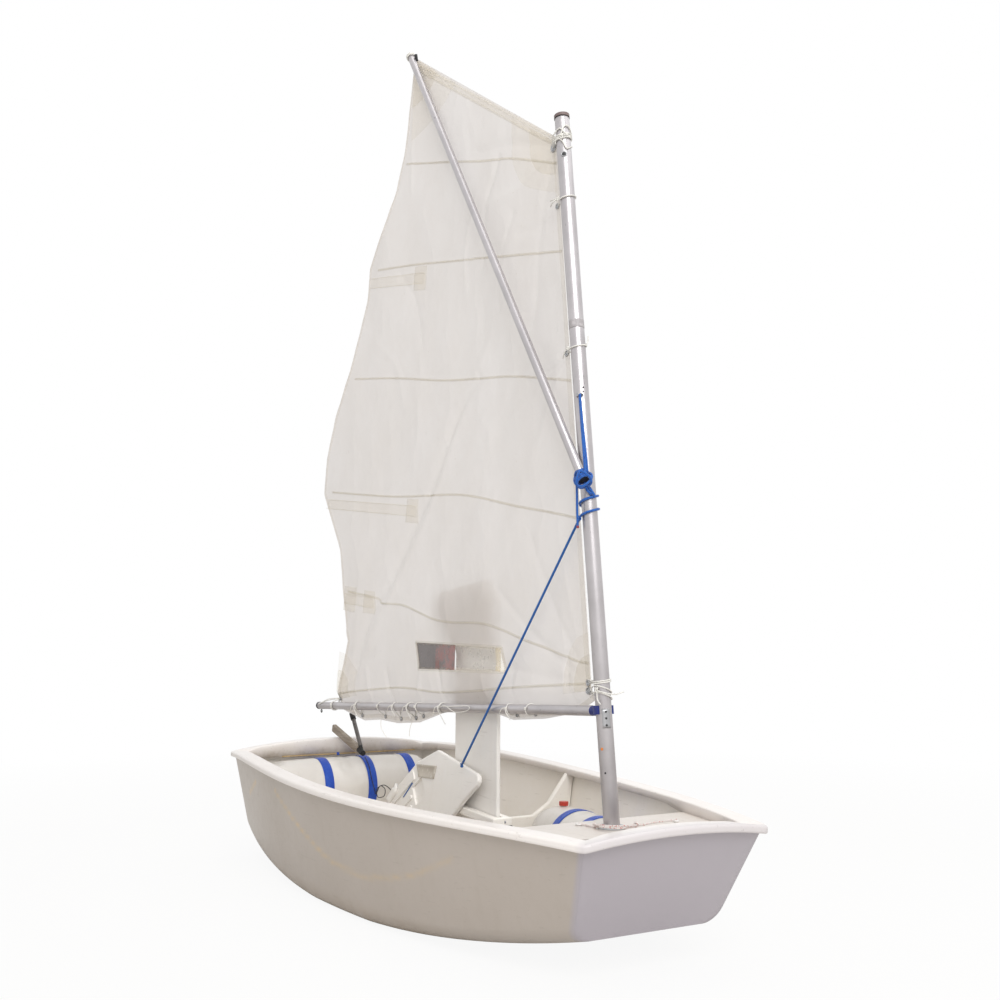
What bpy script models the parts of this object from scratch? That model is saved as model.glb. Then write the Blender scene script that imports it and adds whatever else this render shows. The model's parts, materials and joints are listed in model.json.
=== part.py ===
# A small sprit-rigged pram dinghy, parked on its flat bottom with the rig up.
# X runs to the bow, Y to port, Z up, in metres. The origin is on the bottom's
# centreline, right under the midship frame.
import functools
import math

import bmesh
import bpy
import numpy as np
from mathutils import Matrix, Vector

# Hull
LENGTH = 2.30            # along the rail, transom to transom
BEAM = 1.0844            # over the rail at mid length
DEPTH = 0.40             # floor to the top of the rail at mid length
ROCKER = 0.105           # rise of the flat bottom at the bow transom
BOW_RAKE = 0.149         # how far the bow transom's foot lies aft of its top
STERN_RAKE = 0.0285      # how far the stern transom's foot lies forward of its top
FRAME_AFT = 1.22         # midship frame, aft of the bow
SHELL = 0.006            # laminate thickness
BILGE_RADIUS = 0.055
BOW_CROWN = 0.022        # rise of the bow transom's top in the middle
STERN_CROWN = 0.038

# Rail: a rolled outer edge, a flat flange and a lip turned down inside
RAIL_OUT = 0.020         # roll outside the shell
RAIL_DROP = 0.028        # height of the roll
FLANGE_WIDTH = 0.062
FLANGE_THICK = 0.005
LIP_DROP = 0.024

GAP = 0.0003             # between pieces that touch
OVERRUN = 0.05           # by which a cutter passes the face it cuts

# Thwart, mast step and frame
THWART_FORE = 0.185      # its front edge, aft of the bow
THWART_AFT = 0.425
THWART_THICK = 0.022
THWART_TOP = 0.350
THWART_LIP = 0.018       # turned-down aft edge
THWART_SPACE = 0.0018    # between its ends and the shell
STEP_SIZE = 0.110
STEP_HEIGHT = 0.036
STEP_CUP_DEPTH = 0.022
FRAME_THICK = 0.020
FRAME_TOP = 0.240        # top of its middle part, above the floor
FRAME_KNEE = 0.115       # how far its knees reach in from the side at the rail
FRAME_LIMBER = 0.030     # drain arch at the centreline

# Daggerboard and case
SLOT_LENGTH = 0.316
SLOT_WIDTH = 0.0216
SLOT_FORE = 0.884        # slot's front end, aft of the bow
CASE_WALL = 0.007
CASE_TOP = 0.300         # at its front end
CASE_RISE = 0.020        # its top rises this much to its aft end
CASE_CAP_WIDTH = 0.070
CASE_CAP_HEIGHT = 0.026
BOARD_CHORD = 0.285
BOARD_THICK = 0.014
BOARD_LENGTH = 1.067
BOARD_TIP_RADIUS = 0.032
BOARD_FORE = 0.900       # board's front edge, aft of the bow
BOARD_TIP_Z = 0.004      # its tip when raised, above the floor
BOARD_LEAN = math.radians(1.0)
BOARD_STOP_DROP = 0.012  # stop's top below the board's top
BOARD_STOP_HEIGHT = 0.028
BOARD_STOP_THICK = 0.015
BOARD_HANDLE = 0.140     # how far the head reaches aft of the blade
HANDLE_START = 0.245     # all three below the board's top: where it leaves the blade
HANDLE_LOW = 0.105       # lower corner of its end
HANDLE_HIGH = 0.030      # upper corner of its end
BOARD_NOSE = 0.062       # cut-off corner at the head's front

# Spars, measured in the rig's own frame: Z up the mast, X forward
MAST_AFT = 0.2693        # mast's foot, aft of the bow
MAST_RAKE = math.radians(5.06)
MAST_LENGTH = 2.375
MAST_PLUG = 0.010        # height of the plug in its top
MAST_RADIUS = 0.0225
COLLAR_OUT = 0.040
COLLAR_HEIGHT = 0.008
MAST_CLEARANCE = 0.005
RIG_SWING = math.radians(1.9)    # boom off the centreline, to starboard
BOOM_RADIUS = 0.015
BOOM_START = 0.050       # its forward end, aft of the mast's centre
BOOM_END = 1.960
BOOM_PLUG = 0.012
JAW_WALL = 0.007
JAW_HEIGHT = 0.024
BOOM_Z = 0.5715          # at its forward end, above the mast's foot
BOOM_DROOP = math.radians(-3.0)  # it rises aft in the raked frame
SPRIT_RADIUS = 0.0135
SPRIT_FOOT_SIDE = 0.040  # to starboard of the sail's middle
SPRIT_FOOT = (-0.033, 1.218)
SPRIT_PEAK = (0.902, 3.138)
SPRIT_FOOT_CAP = 0.030
SPRIT_PEAK_CAP = 0.009

# Sail
SAIL_THICK = 0.0024
SAIL_BELLY = 0.030       # to port, at the sail's middle
FOOT_DROP = 0.085        # most that the foot hangs under the line from tack to clew
FOOT_FADE = 0.08         # share of the luff over which that hanging dies out
FOOT_BLEND = 0.050       # height over the boom in which the cloth comes back over its middle
FOOT_SPACE = 0.0017      # between the boom and the cloth beside it
WINDOW = ((1.082, 0.8605), (0.512, 0.7905), (0.496, 0.7125), (1.059, 0.7635))
WINDOW_HEM = 0.010       # overlap of the pane and the cloth
WINDOW_THICK = 0.0008
TACK = (0.049, 0.6105)
CLEW = (1.804, 0.6795)
THROAT = (0.036, 2.3325)
PEAK = (0.884, 3.114)

BATTEN_WIDTH = 0.018
BATTEN_THICK = 0.0016
BATTEN_INSET_SHARE = 0.03

# Cords: luff ties by their height up the luff, then the snotter that holds the sprit's foot
TIE_SHARES = (0.985, 0.871, 0.592, 0.025)
TIE_RADIUS = 0.0020
ROPE_RADIUS = 0.0030
EYE_UP = 1.480
EYE_RADIUS = 0.005
EYE_REACH = 0.010
EYE_TURN = math.radians(-60)     # from straight ahead, to starboard
WRAP_UP = 1.177
WRAP_PITCH = 0.039
WRAP_TURNS = 1.37
WRAP_START = math.radians(15)  # to port of ahead
WRAP_SIDES = 14
PEAK_RING_LENGTH = 0.016
PEAK_RING_WALL = 0.003
BOOM_EYE_RADIUS = 0.006

# Buoyancy bags and their straps
STERN_BAG_LENGTH = 0.780
STERN_BAG_RADIUS = 0.116
STERN_BAG_Z = 0.268      # its axis, above the floor it stands on
STERN_STRAP_SIDES = (0.265, 0.076, -0.116)
SIDE_BAG_LENGTH = 0.620
SIDE_BAG_RADIUS = 0.108
SIDE_BAG_AFT = 0.850     # its middle, aft of the bow
SIDE_BAG_Z = 0.185
SIDE_STRAP_SHARES = (-0.13, 0.13)    # of the bag's length, from its middle
CAP_SHARE = -0.32
STRAP_WIDTH = 0.040
STRAP_THICK = 0.0025
CAP_RADIUS = 0.016
CAP_HEIGHT = 0.014
BAG_SIDES = 24

# Steering gear
RUDDER_THICK = 0.018
RUDDER_LENGTH = 0.694
RUDDER_DEPTH = 0.2455
RUDDER_CORNER = 0.022
RUDDER_PAST = 0.400      # its aft end, aft of the midship frame
RUDDER_RIB = 0.006       # height of the ribs on its head
RUDDER_POCKET = 0.009    # depth of the pocket between them
GUDGEON_SHARES = (("gudgeon_upper", 0.72), ("gudgeon_lower", 0.22))
GUDGEON_WIDTH = 0.060
GUDGEON_HEIGHT = 0.022
GUDGEON_THICK = 0.0025
GUDGEON_REACH = 0.034    # from the stern to the eye's middle
EYE_WALL = 0.0065        # round the gudgeon's bore
EYE_BORE = 0.0045
EYE_HEIGHT = 0.018
ARM_THICK = 0.006
RUDDER_TILT = math.radians(8.5)
TILLER_THICK = 0.020
TILLER_DEPTH = 0.032
TILLER_SLOPE = math.radians(15.1)
TILLER_SIDE = 0.010      # to port
TILLER_PAST = 0.003       # its aft end, past the stern rail's outer edge
TILLER_LENGTH = 0.270
EXTENSION_RADIUS = 0.0085
EXTENSION_BEFORE = 0.193  # its upper end: forward of the stern, above the floor
EXTENSION_TOP = 0.568
JOINT_LENGTH = 0.046
JOINT_RADIUS = 0.011
JOINT_NECK = 0.032
GRIP_LENGTH = 0.030

FLAT_SHARE = 0.018       # of the rocker: what lies below this is flat
STATION_SHARES = (0.0, 0.25, 0.5, 0.75, 1.0)
HALF_BREADTH_SHARES = (0.5525, 0.8505, 1.0, 0.9854, 0.8427)      # of half the beam
SHEER_SHARES = (0.9338, 0.9653, 0.9935, 1.0508, 1.0482)          # of the depth
CHINE_BREADTH_SHARES = (0.4245, 0.7057, 0.8392, 0.8335, 0.6944)  # of half the beam
CHINE_HEIGHT_SHARES = (1.0, 0.202, -0.007, 0.235, 0.904)         # of the rocker


def start():
    for item in list(bpy.data.objects):
        bpy.data.objects.remove(item, do_unlink=True)
    made = {}
    for name in ("sailing_dinghy", "cutters"):
        made[name] = bpy.data.collections.new(name)
        bpy.context.scene.collection.children.link(made[name])
    return made["sailing_dinghy"], made["cutters"]


parts, cutters = start()


def finish(name, colour, roughness, metallic=0.0):
    """A Principled material in the piece's own colour."""
    material = bpy.data.materials.new(name)
    material.use_nodes = True
    shader = material.node_tree.nodes["Principled BSDF"]
    shader.inputs["Base Color"].default_value = (*colour, 1.0)
    shader.inputs["Roughness"].default_value = roughness
    shader.inputs["Metallic"].default_value = metallic
    return material


gelcoat = finish("gelcoat", (0.84, 0.82, 0.80), 0.35)
inner_gelcoat = finish("inner_gelcoat", (0.82, 0.80, 0.76), 0.5)
rail_gelcoat = finish("rail_gelcoat", (0.88, 0.86, 0.85), 0.3)
anodised = finish("anodised", (0.60, 0.60, 0.63), 0.35, 0.9)
black_plastic = finish("black_plastic", (0.02, 0.02, 0.025), 0.5)
navy_plastic = finish("navy_plastic", (0.02, 0.03, 0.12), 0.5)
grey_plastic = finish("grey_plastic", (0.55, 0.58, 0.60), 0.5)
steel = finish("steel", (0.65, 0.65, 0.66), 0.3, 1.0)
sailcloth = finish("sailcloth", (0.86, 0.85, 0.82), 0.7)
clear_film = finish("clear_film", (0.75, 0.76, 0.76), 0.1)
bag_film = finish("bag_film", (0.86, 0.85, 0.80), 0.4)
webbing = finish("webbing", (0.05, 0.16, 0.60), 0.8)
white_cord = finish("white_cord", (0.84, 0.84, 0.81), 0.8)
blue_rope = finish("blue_rope", (0.10, 0.24, 0.58), 0.8)
red_plastic = finish("red_plastic", (0.75, 0.10, 0.05), 0.5)
wood = finish("wood", (0.45, 0.33, 0.22), 0.5)
board_gelcoat = finish("board_gelcoat", (0.86, 0.86, 0.84), 0.35)
batten_fibre = finish("batten_fibre", (0.80, 0.80, 0.76), 0.5)


def keep(item, name, material, group=None):
    """Names an object, gives it its material and puts it in one collection."""
    item.name = name
    item.data.name = name
    item.data.materials.clear()
    item.data.materials.append(material)
    for old in list(item.users_collection):
        old.objects.unlink(item)
    (group or parts).objects.link(item)
    if item.type == "MESH":
        item.data.shade_smooth()
        item.data.set_sharp_from_angle(angle=math.radians(35))
    return item


def from_bmesh(shape, name, material, group=None):
    bmesh.ops.recalc_face_normals(shape, faces=shape.faces)
    mesh = bpy.data.meshes.new(name)
    shape.to_mesh(mesh)
    shape.free()
    item = bpy.data.objects.new(name, mesh)
    bpy.context.scene.collection.objects.link(item)
    return keep(item, name, material, group)


def loft(name, rings, material, closed=False, capped=True, ring_closed=True):
    """Skins a list of rings of points; a closed loft joins its last ring to its first."""
    shape = bmesh.new()
    rows = [[shape.verts.new(point) for point in ring] for ring in rings]
    count = len(rows[0])
    pairs = list(zip(rows, rows[1:])) + ([(rows[-1], rows[0])] if closed else [])
    for first, second in pairs:
        for i in range(count if ring_closed else count - 1):
            j = (i + 1) % count
            shape.faces.new((first[i], first[j], second[j], second[i]))
    if capped and not closed:
        shape.faces.new(rows[0])
        shape.faces.new(rows[-1])
    return from_bmesh(shape, name, material)


def box(name, low, high, material, group=None):
    shape = bmesh.new()
    bmesh.ops.create_cube(shape, size=1.0)
    low, high = Vector(low), Vector(high)
    size = high - low
    bmesh.ops.scale(shape, vec=size, verts=shape.verts)
    bmesh.ops.translate(shape, vec=(low + high) / 2, verts=shape.verts)
    return from_bmesh(shape, name, material, group)


def rod(name, start_point, end_point, radius, material, sides=24, end_radius=None, group=None):
    """A round bar or cone between two points."""
    start_point, end_point = Vector(start_point), Vector(end_point)
    along = end_point - start_point
    shape = bmesh.new()
    bmesh.ops.create_cone(
        shape, cap_ends=True, segments=sides, radius1=radius,
        radius2=radius if end_radius is None else end_radius, depth=along.length)
    turn = along.to_track_quat("Z", "Y").to_matrix().to_4x4()
    bmesh.ops.transform(shape, matrix=Matrix.Translation((start_point + end_point) / 2) @ turn,
                        verts=shape.verts)
    return from_bmesh(shape, name, material, group)


def turned(name, profile, material, steps=32):
    """A Screw of a profile of (radius, height), from its outer top to its inner or lower end."""
    mesh = bpy.data.meshes.new(name)
    mesh.from_pydata([(r, 0.0, h) for r, h in profile],
                     [(i, (i + 1) % len(profile)) for i in range(len(profile))], [])
    item = bpy.data.objects.new(name, mesh)
    bpy.context.scene.collection.objects.link(item)
    screw = item.modifiers.new("turn", "SCREW")
    screw.steps = screw.render_steps = steps
    screw.use_merge_vertices = True
    screw.merge_threshold = 0.00001
    return keep(item, name, material)


def tube(name, points, radius, material, closed=False):
    """A cord along smooth points."""
    curve = bpy.data.curves.new(name, "CURVE")
    curve.dimensions = "3D"
    curve.bevel_depth = radius
    curve.bevel_resolution = 2
    curve.use_fill_caps = not closed
    spline = curve.splines.new("POLY")
    spline.use_cyclic_u = closed
    spline.points.add(len(points) - 1)
    for spot, point in zip(spline.points, points):
        spot.co = (*point, 1.0)
    item = bpy.data.objects.new(name, curve)
    bpy.context.scene.collection.objects.link(item)
    return keep(item, name, material)


def prism(name, outline, thickness, material, place=None, group=None):
    """A flat outline in XZ, thickened evenly along Y."""
    shape = bmesh.new()
    rows = []
    for side in (-thickness / 2, thickness / 2):
        rows.append([shape.verts.new((x, side, z)) for x, z in outline])
    shape.faces.new(rows[0])
    shape.faces.new(rows[1])
    count = len(outline)
    for i in range(count):
        j = (i + 1) % count
        shape.faces.new((rows[0][i], rows[0][j], rows[1][j], rows[1][i]))
    if place is not None:
        bmesh.ops.transform(shape, matrix=place, verts=shape.verts)
    return from_bmesh(shape, name, material, group)


def combine(item, other, operation):
    """A Boolean of two meshes; the second one becomes a hidden helper."""
    change = item.modifiers.new(operation.lower(), "BOOLEAN")
    change.operation = operation
    change.solver = "EXACT"
    change.object = other
    other.hide_render = True
    other.display_type = "WIRE"
    for old in list(other.users_collection):
        old.objects.unlink(other)
    cutters.objects.link(other)


def bevel(item, width, segments=2, angle=35.0):
    edge = item.modifiers.new("edges", "BEVEL")
    edge.width = width
    edge.segments = segments
    edge.limit_method = "ANGLE"
    edge.angle_limit = math.radians(angle)
    edge.use_clamp_overlap = True


def rounded(outline, radius, steps=3):
    """The same closed 2-D outline with each corner turned into an arc."""
    points = []
    count = len(outline)
    for i in range(count):
        before, corner, after = (Vector(outline[k % count]) for k in (i - 1, i, i + 1))
        points += corner_arc(before, corner, after, radius, steps)
    return points


def corner_arc(before, corner, after, radius, steps):
    back = (before - corner).normalized()
    ahead = (after - corner).normalized()
    half = math.acos(max(-1.0, min(1.0, back.dot(ahead)))) / 2
    reach = min(radius / math.tan(half), (before - corner).length / 2, (after - corner).length / 2)
    radius = reach * math.tan(half)
    middle = corner + (back + ahead).normalized() * radius / math.sin(half)
    first = corner + back * reach - middle
    last = corner + ahead * reach - middle
    turn = math.atan2(first.x * last.y - first.y * last.x, first.dot(last))
    return [middle + Matrix.Rotation(turn * k / steps, 2) @ first for k in range(steps + 1)]


def aft(distance):
    """X of what lies this far aft of the bow's top."""
    return FRAME_AFT - distance


def fair(shares, share):
    """A smooth line through the five stations."""
    return float(np.polyval(np.polyfit(STATION_SHARES, shares, len(shares) - 1), share))


def sheer(share):
    """Aft distance, half breadth and height of the rail's outer edge."""
    return (share * LENGTH, fair(HALF_BREADTH_SHARES, share) * BEAM / 2,
            fair(SHEER_SHARES, share) * DEPTH)


def chine(share):
    """The same for the corner that the bilge's rounding replaces."""
    height = fair(CHINE_HEIGHT_SHARES, share)
    return (BOW_RAKE + share * (LENGTH - BOW_RAKE - STERN_RAKE),
            fair(CHINE_BREADTH_SHARES, share) * BEAM / 2,
            ROCKER * max(0.0, height - FLAT_SHARE) / (1 - FLAT_SHARE))


# Rail line: an even walk round the rail's outer edge, from the starboard bow corner
SIDE_STEPS = 16
TRANSOM_STEPS = 8


def rail_line():
    side = [Vector((aft(d), b, h)) for d, b, h in map(sheer, np.linspace(0, 1, SIDE_STEPS + 1))]
    starboard = [Vector((p.x, -p.y, p.z)) for p in side]
    stern = across(starboard[-1], STERN_CROWN, transom_lean(1.0))
    bow = across(side[0], BOW_CROWN, transom_lean(0.0))
    return starboard + stern + list(reversed(side)) + bow


def transom_lean(share):
    """How far the end of the shell at this share moves forward for each metre of its height."""
    foot, top = chine(share), sheer(share)
    outward = RAIL_OUT if share == 0 else -RAIL_OUT
    return (aft(top[0]) - outward - aft(foot[0])) / (top[2] - FLANGE_THICK - GAP - foot[2])


def across(corner, crown, lean):
    """Points between the two corners of a transom, arched by its crown in the transom's plane."""
    points = []
    for share in np.linspace(0, 1, TRANSOM_STEPS + 1)[1:-1]:
        y = corner.y * (1 - 2 * share)
        rise = crown * (1 - (1 - 2 * share) ** 2)
        points.append(Vector((corner.x + lean * rise, y, corner.z + rise)))
    return points


def offset_line(line, out):
    """A closed line moved outward in plan by an even distance, with mitred corners."""
    moved = []
    for i, point in enumerate(line):
        back = (point - line[i - 1]).to_2d().normalized()
        ahead = (line[(i + 1) % len(line)] - point).to_2d().normalized()
        # The walk runs clockwise from above, so outward is to its left.
        first, second = Vector((-back.y, back.x)), Vector((-ahead.y, ahead.x))
        mitre = (first + second) / (1 + first.dot(second))
        moved.append(point + Vector((mitre.x, mitre.y, 0.0)) * out)
    return moved


RAIL = rail_line()


def rail_profile():
    """(outward from the shell, up from the rail's top) of the moulding."""
    inside = [(-FLANGE_WIDTH + FLANGE_THICK, -FLANGE_THICK), (-FLANGE_WIDTH + FLANGE_THICK, -LIP_DROP),
              (-FLANGE_WIDTH, -LIP_DROP)]
    corner = RAIL_DROP * 0.4
    top = corner_arc(Vector((-FLANGE_WIDTH, -LIP_DROP)), Vector((-FLANGE_WIDTH, 0)),
                     Vector((0, 0)), FLANGE_THICK, 2)
    outer = corner_arc(Vector((0, 0)), Vector((RAIL_OUT, 0)), Vector((RAIL_OUT, -RAIL_DROP)), corner, 4)
    lower = corner_arc(Vector((RAIL_OUT, 0)), Vector((RAIL_OUT, -RAIL_DROP)),
                       Vector((GAP, -RAIL_DROP)), corner * 0.7, 3)
    under = [(GAP, -RAIL_DROP), (GAP, -FLANGE_THICK)]
    return inside + [tuple(p) for p in top + outer + lower] + under


def build_rail():
    profile = rail_profile()
    lines = [offset_line(RAIL, out - RAIL_OUT) for out, up in profile]
    rings = []
    for i in range(len(RAIL)):
        rings.append([line[i] + Vector((0, 0, up)) for line, (out, up) in zip(lines, profile)])
    return loft("gunwale", rings, rail_gelcoat, closed=True)


def shell_edge():
    """The shell's top edge under the flange, lowered so that its thickness clears the flange."""
    line = offset_line(RAIL, -RAIL_OUT)
    lowered = []
    for i, point in enumerate(line):
        on_side = i <= SIDE_STEPS or SIDE_STEPS + TRANSOM_STEPS <= i <= 2 * SIDE_STEPS + TRANSOM_STEPS
        slopes = []
        if on_side:
            share = min(1.0, max(0.0, (FRAME_AFT - RAIL[i].x) / LENGTH))
            d, b, h = chine(share)
            slopes.append((abs(point.y) - b) / (point.z - h))
        if not on_side or abs(point.x - aft(0)) < 2 * RAIL_OUT or abs(point.x - aft(LENGTH)) < 2 * RAIL_OUT:
            slopes.append(abs(transom_lean(0.0 if point.x > 0 else 1.0)))
        steepest = max(slopes)
        drop = FLANGE_THICK + 3 * GAP + SHELL * steepest * 1.15
        lowered.append(point - Vector((0, 0, drop)))
    return lowered


def section(share, top):
    """Half of one hull section, from the bottom's centreline to the shell's top edge."""
    d, breadth, height = chine(share)
    corner = Vector((breadth, height))
    bend = corner_arc(Vector((0, height)), corner, Vector((abs(top.y), top.z)), BILGE_RADIUS, 5)
    flat = [Vector((0, height)), Vector((bend[0].x * 0.5, height))]
    points = flat + bend + [Vector((abs(top.y), top.z))]
    placed = []
    for point in points:
        rise = (point.y - height) / (top.z - height)
        placed.append(Vector((aft(d) + (top.x - aft(d)) * rise, point.x, point.y)))
    return placed


def build_shell():
    """One open skin of sides, bottom and two flat transoms, thickened inwards."""
    edge = shell_edge()
    last = SIDE_STEPS
    starboard = edge[:last + 1]
    stern_top = edge[last + 1:last + TRANSOM_STEPS]
    bow_top = edge[2 * last + TRANSOM_STEPS + 1:]
    shape = bmesh.new()
    rows = []
    for share, top in zip(np.linspace(0, 1, SIDE_STEPS + 1), starboard):
        half = section(float(share), top)
        ring = [Vector((p.x, -p.y, p.z)) for p in reversed(half[1:])] + half
        rows.append([shape.verts.new(p) for p in ring])
    count = len(rows[0])
    for first, second in zip(rows, rows[1:]):
        for i in range(count - 1):
            shape.faces.new((first[i], first[i + 1], second[i + 1], second[i]))
    for row, crown in ((rows[0], bow_top), (rows[-1], stern_top)):
        points = [shape.verts.new(p) for p in crown]
        if points[0].co.y < 0:
            points.reverse()
        shape.faces.new(row + points)
    shell = from_bmesh(shape, "hull_shell", gelcoat)
    skin = shell.modifiers.new("laminate", "SOLIDIFY")
    skin.thickness = SHELL
    skin.offset = -1.0
    skin.use_even_offset = True
    slot = box("slot_cut", (aft(SLOT_FORE + SLOT_LENGTH), -SLOT_WIDTH / 2, -OVERRUN),
               (aft(SLOT_FORE), SLOT_WIDTH / 2, OVERRUN), gelcoat)
    combine(shell, slot, "DIFFERENCE")
    return shell


@functools.lru_cache(maxsize=None)
def side_stations():
    """For each section, its chine corner and the shell's top edge on the port side."""
    edge = shell_edge()[:SIDE_STEPS + 1]
    found = []
    for share, top in zip(np.linspace(0, 1, SIDE_STEPS + 1), edge):
        d, b, h = chine(float(share))
        found.append((Vector((aft(d), b, h)), Vector((top.x, -top.y, top.z))))
    return found


def inner_side(x, z):
    """Half breadth inside the shell at one place above the bilge's rounding."""
    line = []
    for low, high in side_stations():
        point = low.lerp(high, (z - low.z) / (high.z - low.z))
        slope = (high.y - low.y) / (high.z - low.z)
        line.append((-point.x, point.y - SHELL * math.hypot(1, slope)))
    xs, ys = zip(*line)
    lean = (ys[0] - ys[-1]) / LENGTH
    return float(np.interp(-x, xs, ys)) - SHELL * abs(lean) * 0.1


@functools.lru_cache(maxsize=None)
def floor_stations():
    """X and height of the laminate's upper face at each of the hull's sections."""
    places = [chine(float(share)) for share in np.linspace(0, 1, SIDE_STEPS + 1)]
    return [aft(d) for d, b, h in places], [h + SHELL for d, b, h in places]


def floor_height(x):
    xs, heights = floor_stations()
    return float(np.interp(-x, [-v for v in xs], heights))


def floor_line(back, fore):
    """Points (x, height) just above the floor from one X to another."""
    xs = [back] + sorted(v for v in floor_stations()[0] if back < v < fore) + [fore]
    return [(x, floor_height(x) + GAP * 2) for x in xs]


def build_thwart():
    """A broad moulded deck round the mast, with its aft edge turned down."""
    fore, back = aft(THWART_FORE), aft(THWART_AFT)
    bottom = THWART_TOP - THWART_THICK
    outline = []
    for x in np.linspace(fore, back, 5):
        outline.append((x, inner_side(x, bottom) - THWART_SPACE))
    plan = [(x, y) for x, y in outline] + [(x, -y) for x, y in reversed(outline)]
    rings = [[Vector((x, y, z)) for x, y in plan] for z in (bottom, THWART_TOP)]
    thwart = loft("mast_thwart", rings, inner_gelcoat)
    inside = inner_side(back + THWART_THICK * 0.6, bottom - THWART_LIP) - THWART_SPACE
    lip = box("thwart_lip", (back, -inside, bottom - THWART_LIP),
              (back + THWART_THICK * 0.6, inside, bottom + THWART_THICK / 2), inner_gelcoat)
    combine(thwart, lip, "UNION")
    axis_top, axis_low = rig_point(0, 0, DEPTH), rig_point(0, 0, 0)
    hole = rod("thwart_hole", axis_low, axis_top, MAST_RADIUS + MAST_CLEARANCE, inner_gelcoat, 32)
    combine(thwart, hole, "DIFFERENCE")
    return thwart


def rig_matrix():
    """The rig's own frame: origin at the mast's foot, Z up the mast, X forward."""
    foot = Vector((aft(MAST_AFT), 0, floor_height(aft(MAST_AFT)) + STEP_HEIGHT - STEP_CUP_DEPTH))
    rake = Matrix.Rotation(-MAST_RAKE, 4, "Y")
    swing = Matrix.Rotation(RIG_SWING, 4, "Z")
    return Matrix.Translation(foot) @ rake @ swing


def rig_point(back, side, up):
    """World place of a point this far aft of the mast, to port and up it."""
    return rig_matrix() @ Vector((-back, side, up))


def build_step():
    x, half = aft(MAST_AFT), STEP_SIZE / 2
    top = floor_height(x) + STEP_HEIGHT
    outline = floor_line(x - half, x + half) + [(x + half, top), (x - half, top)]
    step = prism("mast_step", outline, STEP_SIZE, inner_gelcoat)
    cup = rod("step_cup", rig_point(0, 0, -GAP), rig_point(0, 0, STEP_HEIGHT),
              MAST_RADIUS + MAST_CLEARANCE / 4, inner_gelcoat, 32)
    combine(step, cup, "DIFFERENCE")
    return step


def build_collar():
    """The ring on the thwart that the mast turns in."""
    inner = MAST_RADIUS + MAST_CLEARANCE / 2
    profile = [(COLLAR_OUT, COLLAR_HEIGHT * 0.5), (COLLAR_OUT, 0), (inner, 0),
               (inner, COLLAR_HEIGHT), (COLLAR_OUT * 0.8, COLLAR_HEIGHT)]
    collar = turned("mast_collar", profile, grey_plastic)
    top = rig_point(0, 0, 0)
    rise = THWART_TOP + GAP - top.z
    collar.location = (top.x - rise * math.tan(MAST_RAKE), 0, THWART_TOP + GAP)
    return collar


def build_frame():
    """Bulkhead across the boat amidships: a low middle and knees up to the rail."""
    x = aft(FRAME_AFT)
    base = floor_height(x) + GAP
    d, bilge, low = chine(FRAME_AFT / LENGTH)
    rail_under = sheer(FRAME_AFT / LENGTH)[2] - FLANGE_THICK - GAP
    side_low = inner_side(x, base + BILGE_RADIUS) - THWART_SPACE
    side_high = inner_side(x, rail_under) - THWART_SPACE
    lip = FLANGE_WIDTH + RAIL_OUT
    half = [(FRAME_LIMBER / 2, base), (bilge - BILGE_RADIUS * 1.2, base), (side_low, base + BILGE_RADIUS),
            (side_high, rail_under - THWART_SPACE), (side_high - lip * 0.3, rail_under - THWART_SPACE),
            (side_high - FRAME_KNEE, FRAME_TOP + FRAME_KNEE * 0.35),
            (side_high - FRAME_KNEE * 1.6, FRAME_TOP), (FRAME_LIMBER / 2, FRAME_TOP)]
    arch = base + FRAME_LIMBER
    outline = half[:-1] + [(-y, z) for y, z in reversed(half[:-1])]
    outline += [(-FRAME_LIMBER / 2, arch), (FRAME_LIMBER / 2, arch)]
    turn = Matrix.Translation((x, 0, 0)) @ Matrix.Rotation(math.pi / 2, 4, "Z")
    frame = prism("midship_frame", outline, FRAME_THICK, inner_gelcoat, turn)
    bevel(frame, FRAME_THICK * 0.25)
    return frame


def build_case():
    """The daggerboard's trunk: an open box from the bottom, with a thick cap round its mouth."""
    fore, back = aft(SLOT_FORE) + CASE_WALL, aft(SLOT_FORE + SLOT_LENGTH) - CASE_WALL
    side = SLOT_WIDTH / 2 + CASE_WALL
    back_limit = aft(FRAME_AFT) + FRAME_THICK / 2 + GAP
    back = max(back, back_limit)
    outline = floor_line(back, fore) + [(fore, CASE_TOP - CASE_CAP_HEIGHT / 2),
                                        (back, CASE_TOP + CASE_RISE - CASE_CAP_HEIGHT / 2)]
    trunk = prism("daggerboard_case", outline, 2 * side, inner_gelcoat)
    cap_outline = [(back, CASE_TOP + CASE_RISE - CASE_CAP_HEIGHT),
                   (fore + CASE_WALL, CASE_TOP - CASE_CAP_HEIGHT),
                   (fore + CASE_WALL, CASE_TOP), (back, CASE_TOP + CASE_RISE)]
    cap = prism("case_cap", cap_outline, CASE_CAP_WIDTH, inner_gelcoat)
    bevel(cap, CASE_WALL / 2)
    combine(trunk, cap, "UNION")
    hollow = box("case_hollow", (aft(SLOT_FORE + SLOT_LENGTH), -SLOT_WIDTH / 2, -OVERRUN),
                 (aft(SLOT_FORE), SLOT_WIDTH / 2, CASE_TOP + CASE_RISE + OVERRUN), inner_gelcoat)
    combine(trunk, hollow, "DIFFERENCE")
    return trunk


# The board's head passes this far above the blade's plain part
def board_matrix():
    lean = Matrix.Rotation(-BOARD_LEAN, 4, "X")
    middle = Vector((aft(BOARD_FORE) - BOARD_CHORD / 2, 0, (CASE_TOP + BOARD_TIP_Z) / 2))
    drop = Matrix.Translation((0, 0, BOARD_TIP_Z - middle.z))
    return Matrix.Translation(middle) @ lean @ drop


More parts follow.
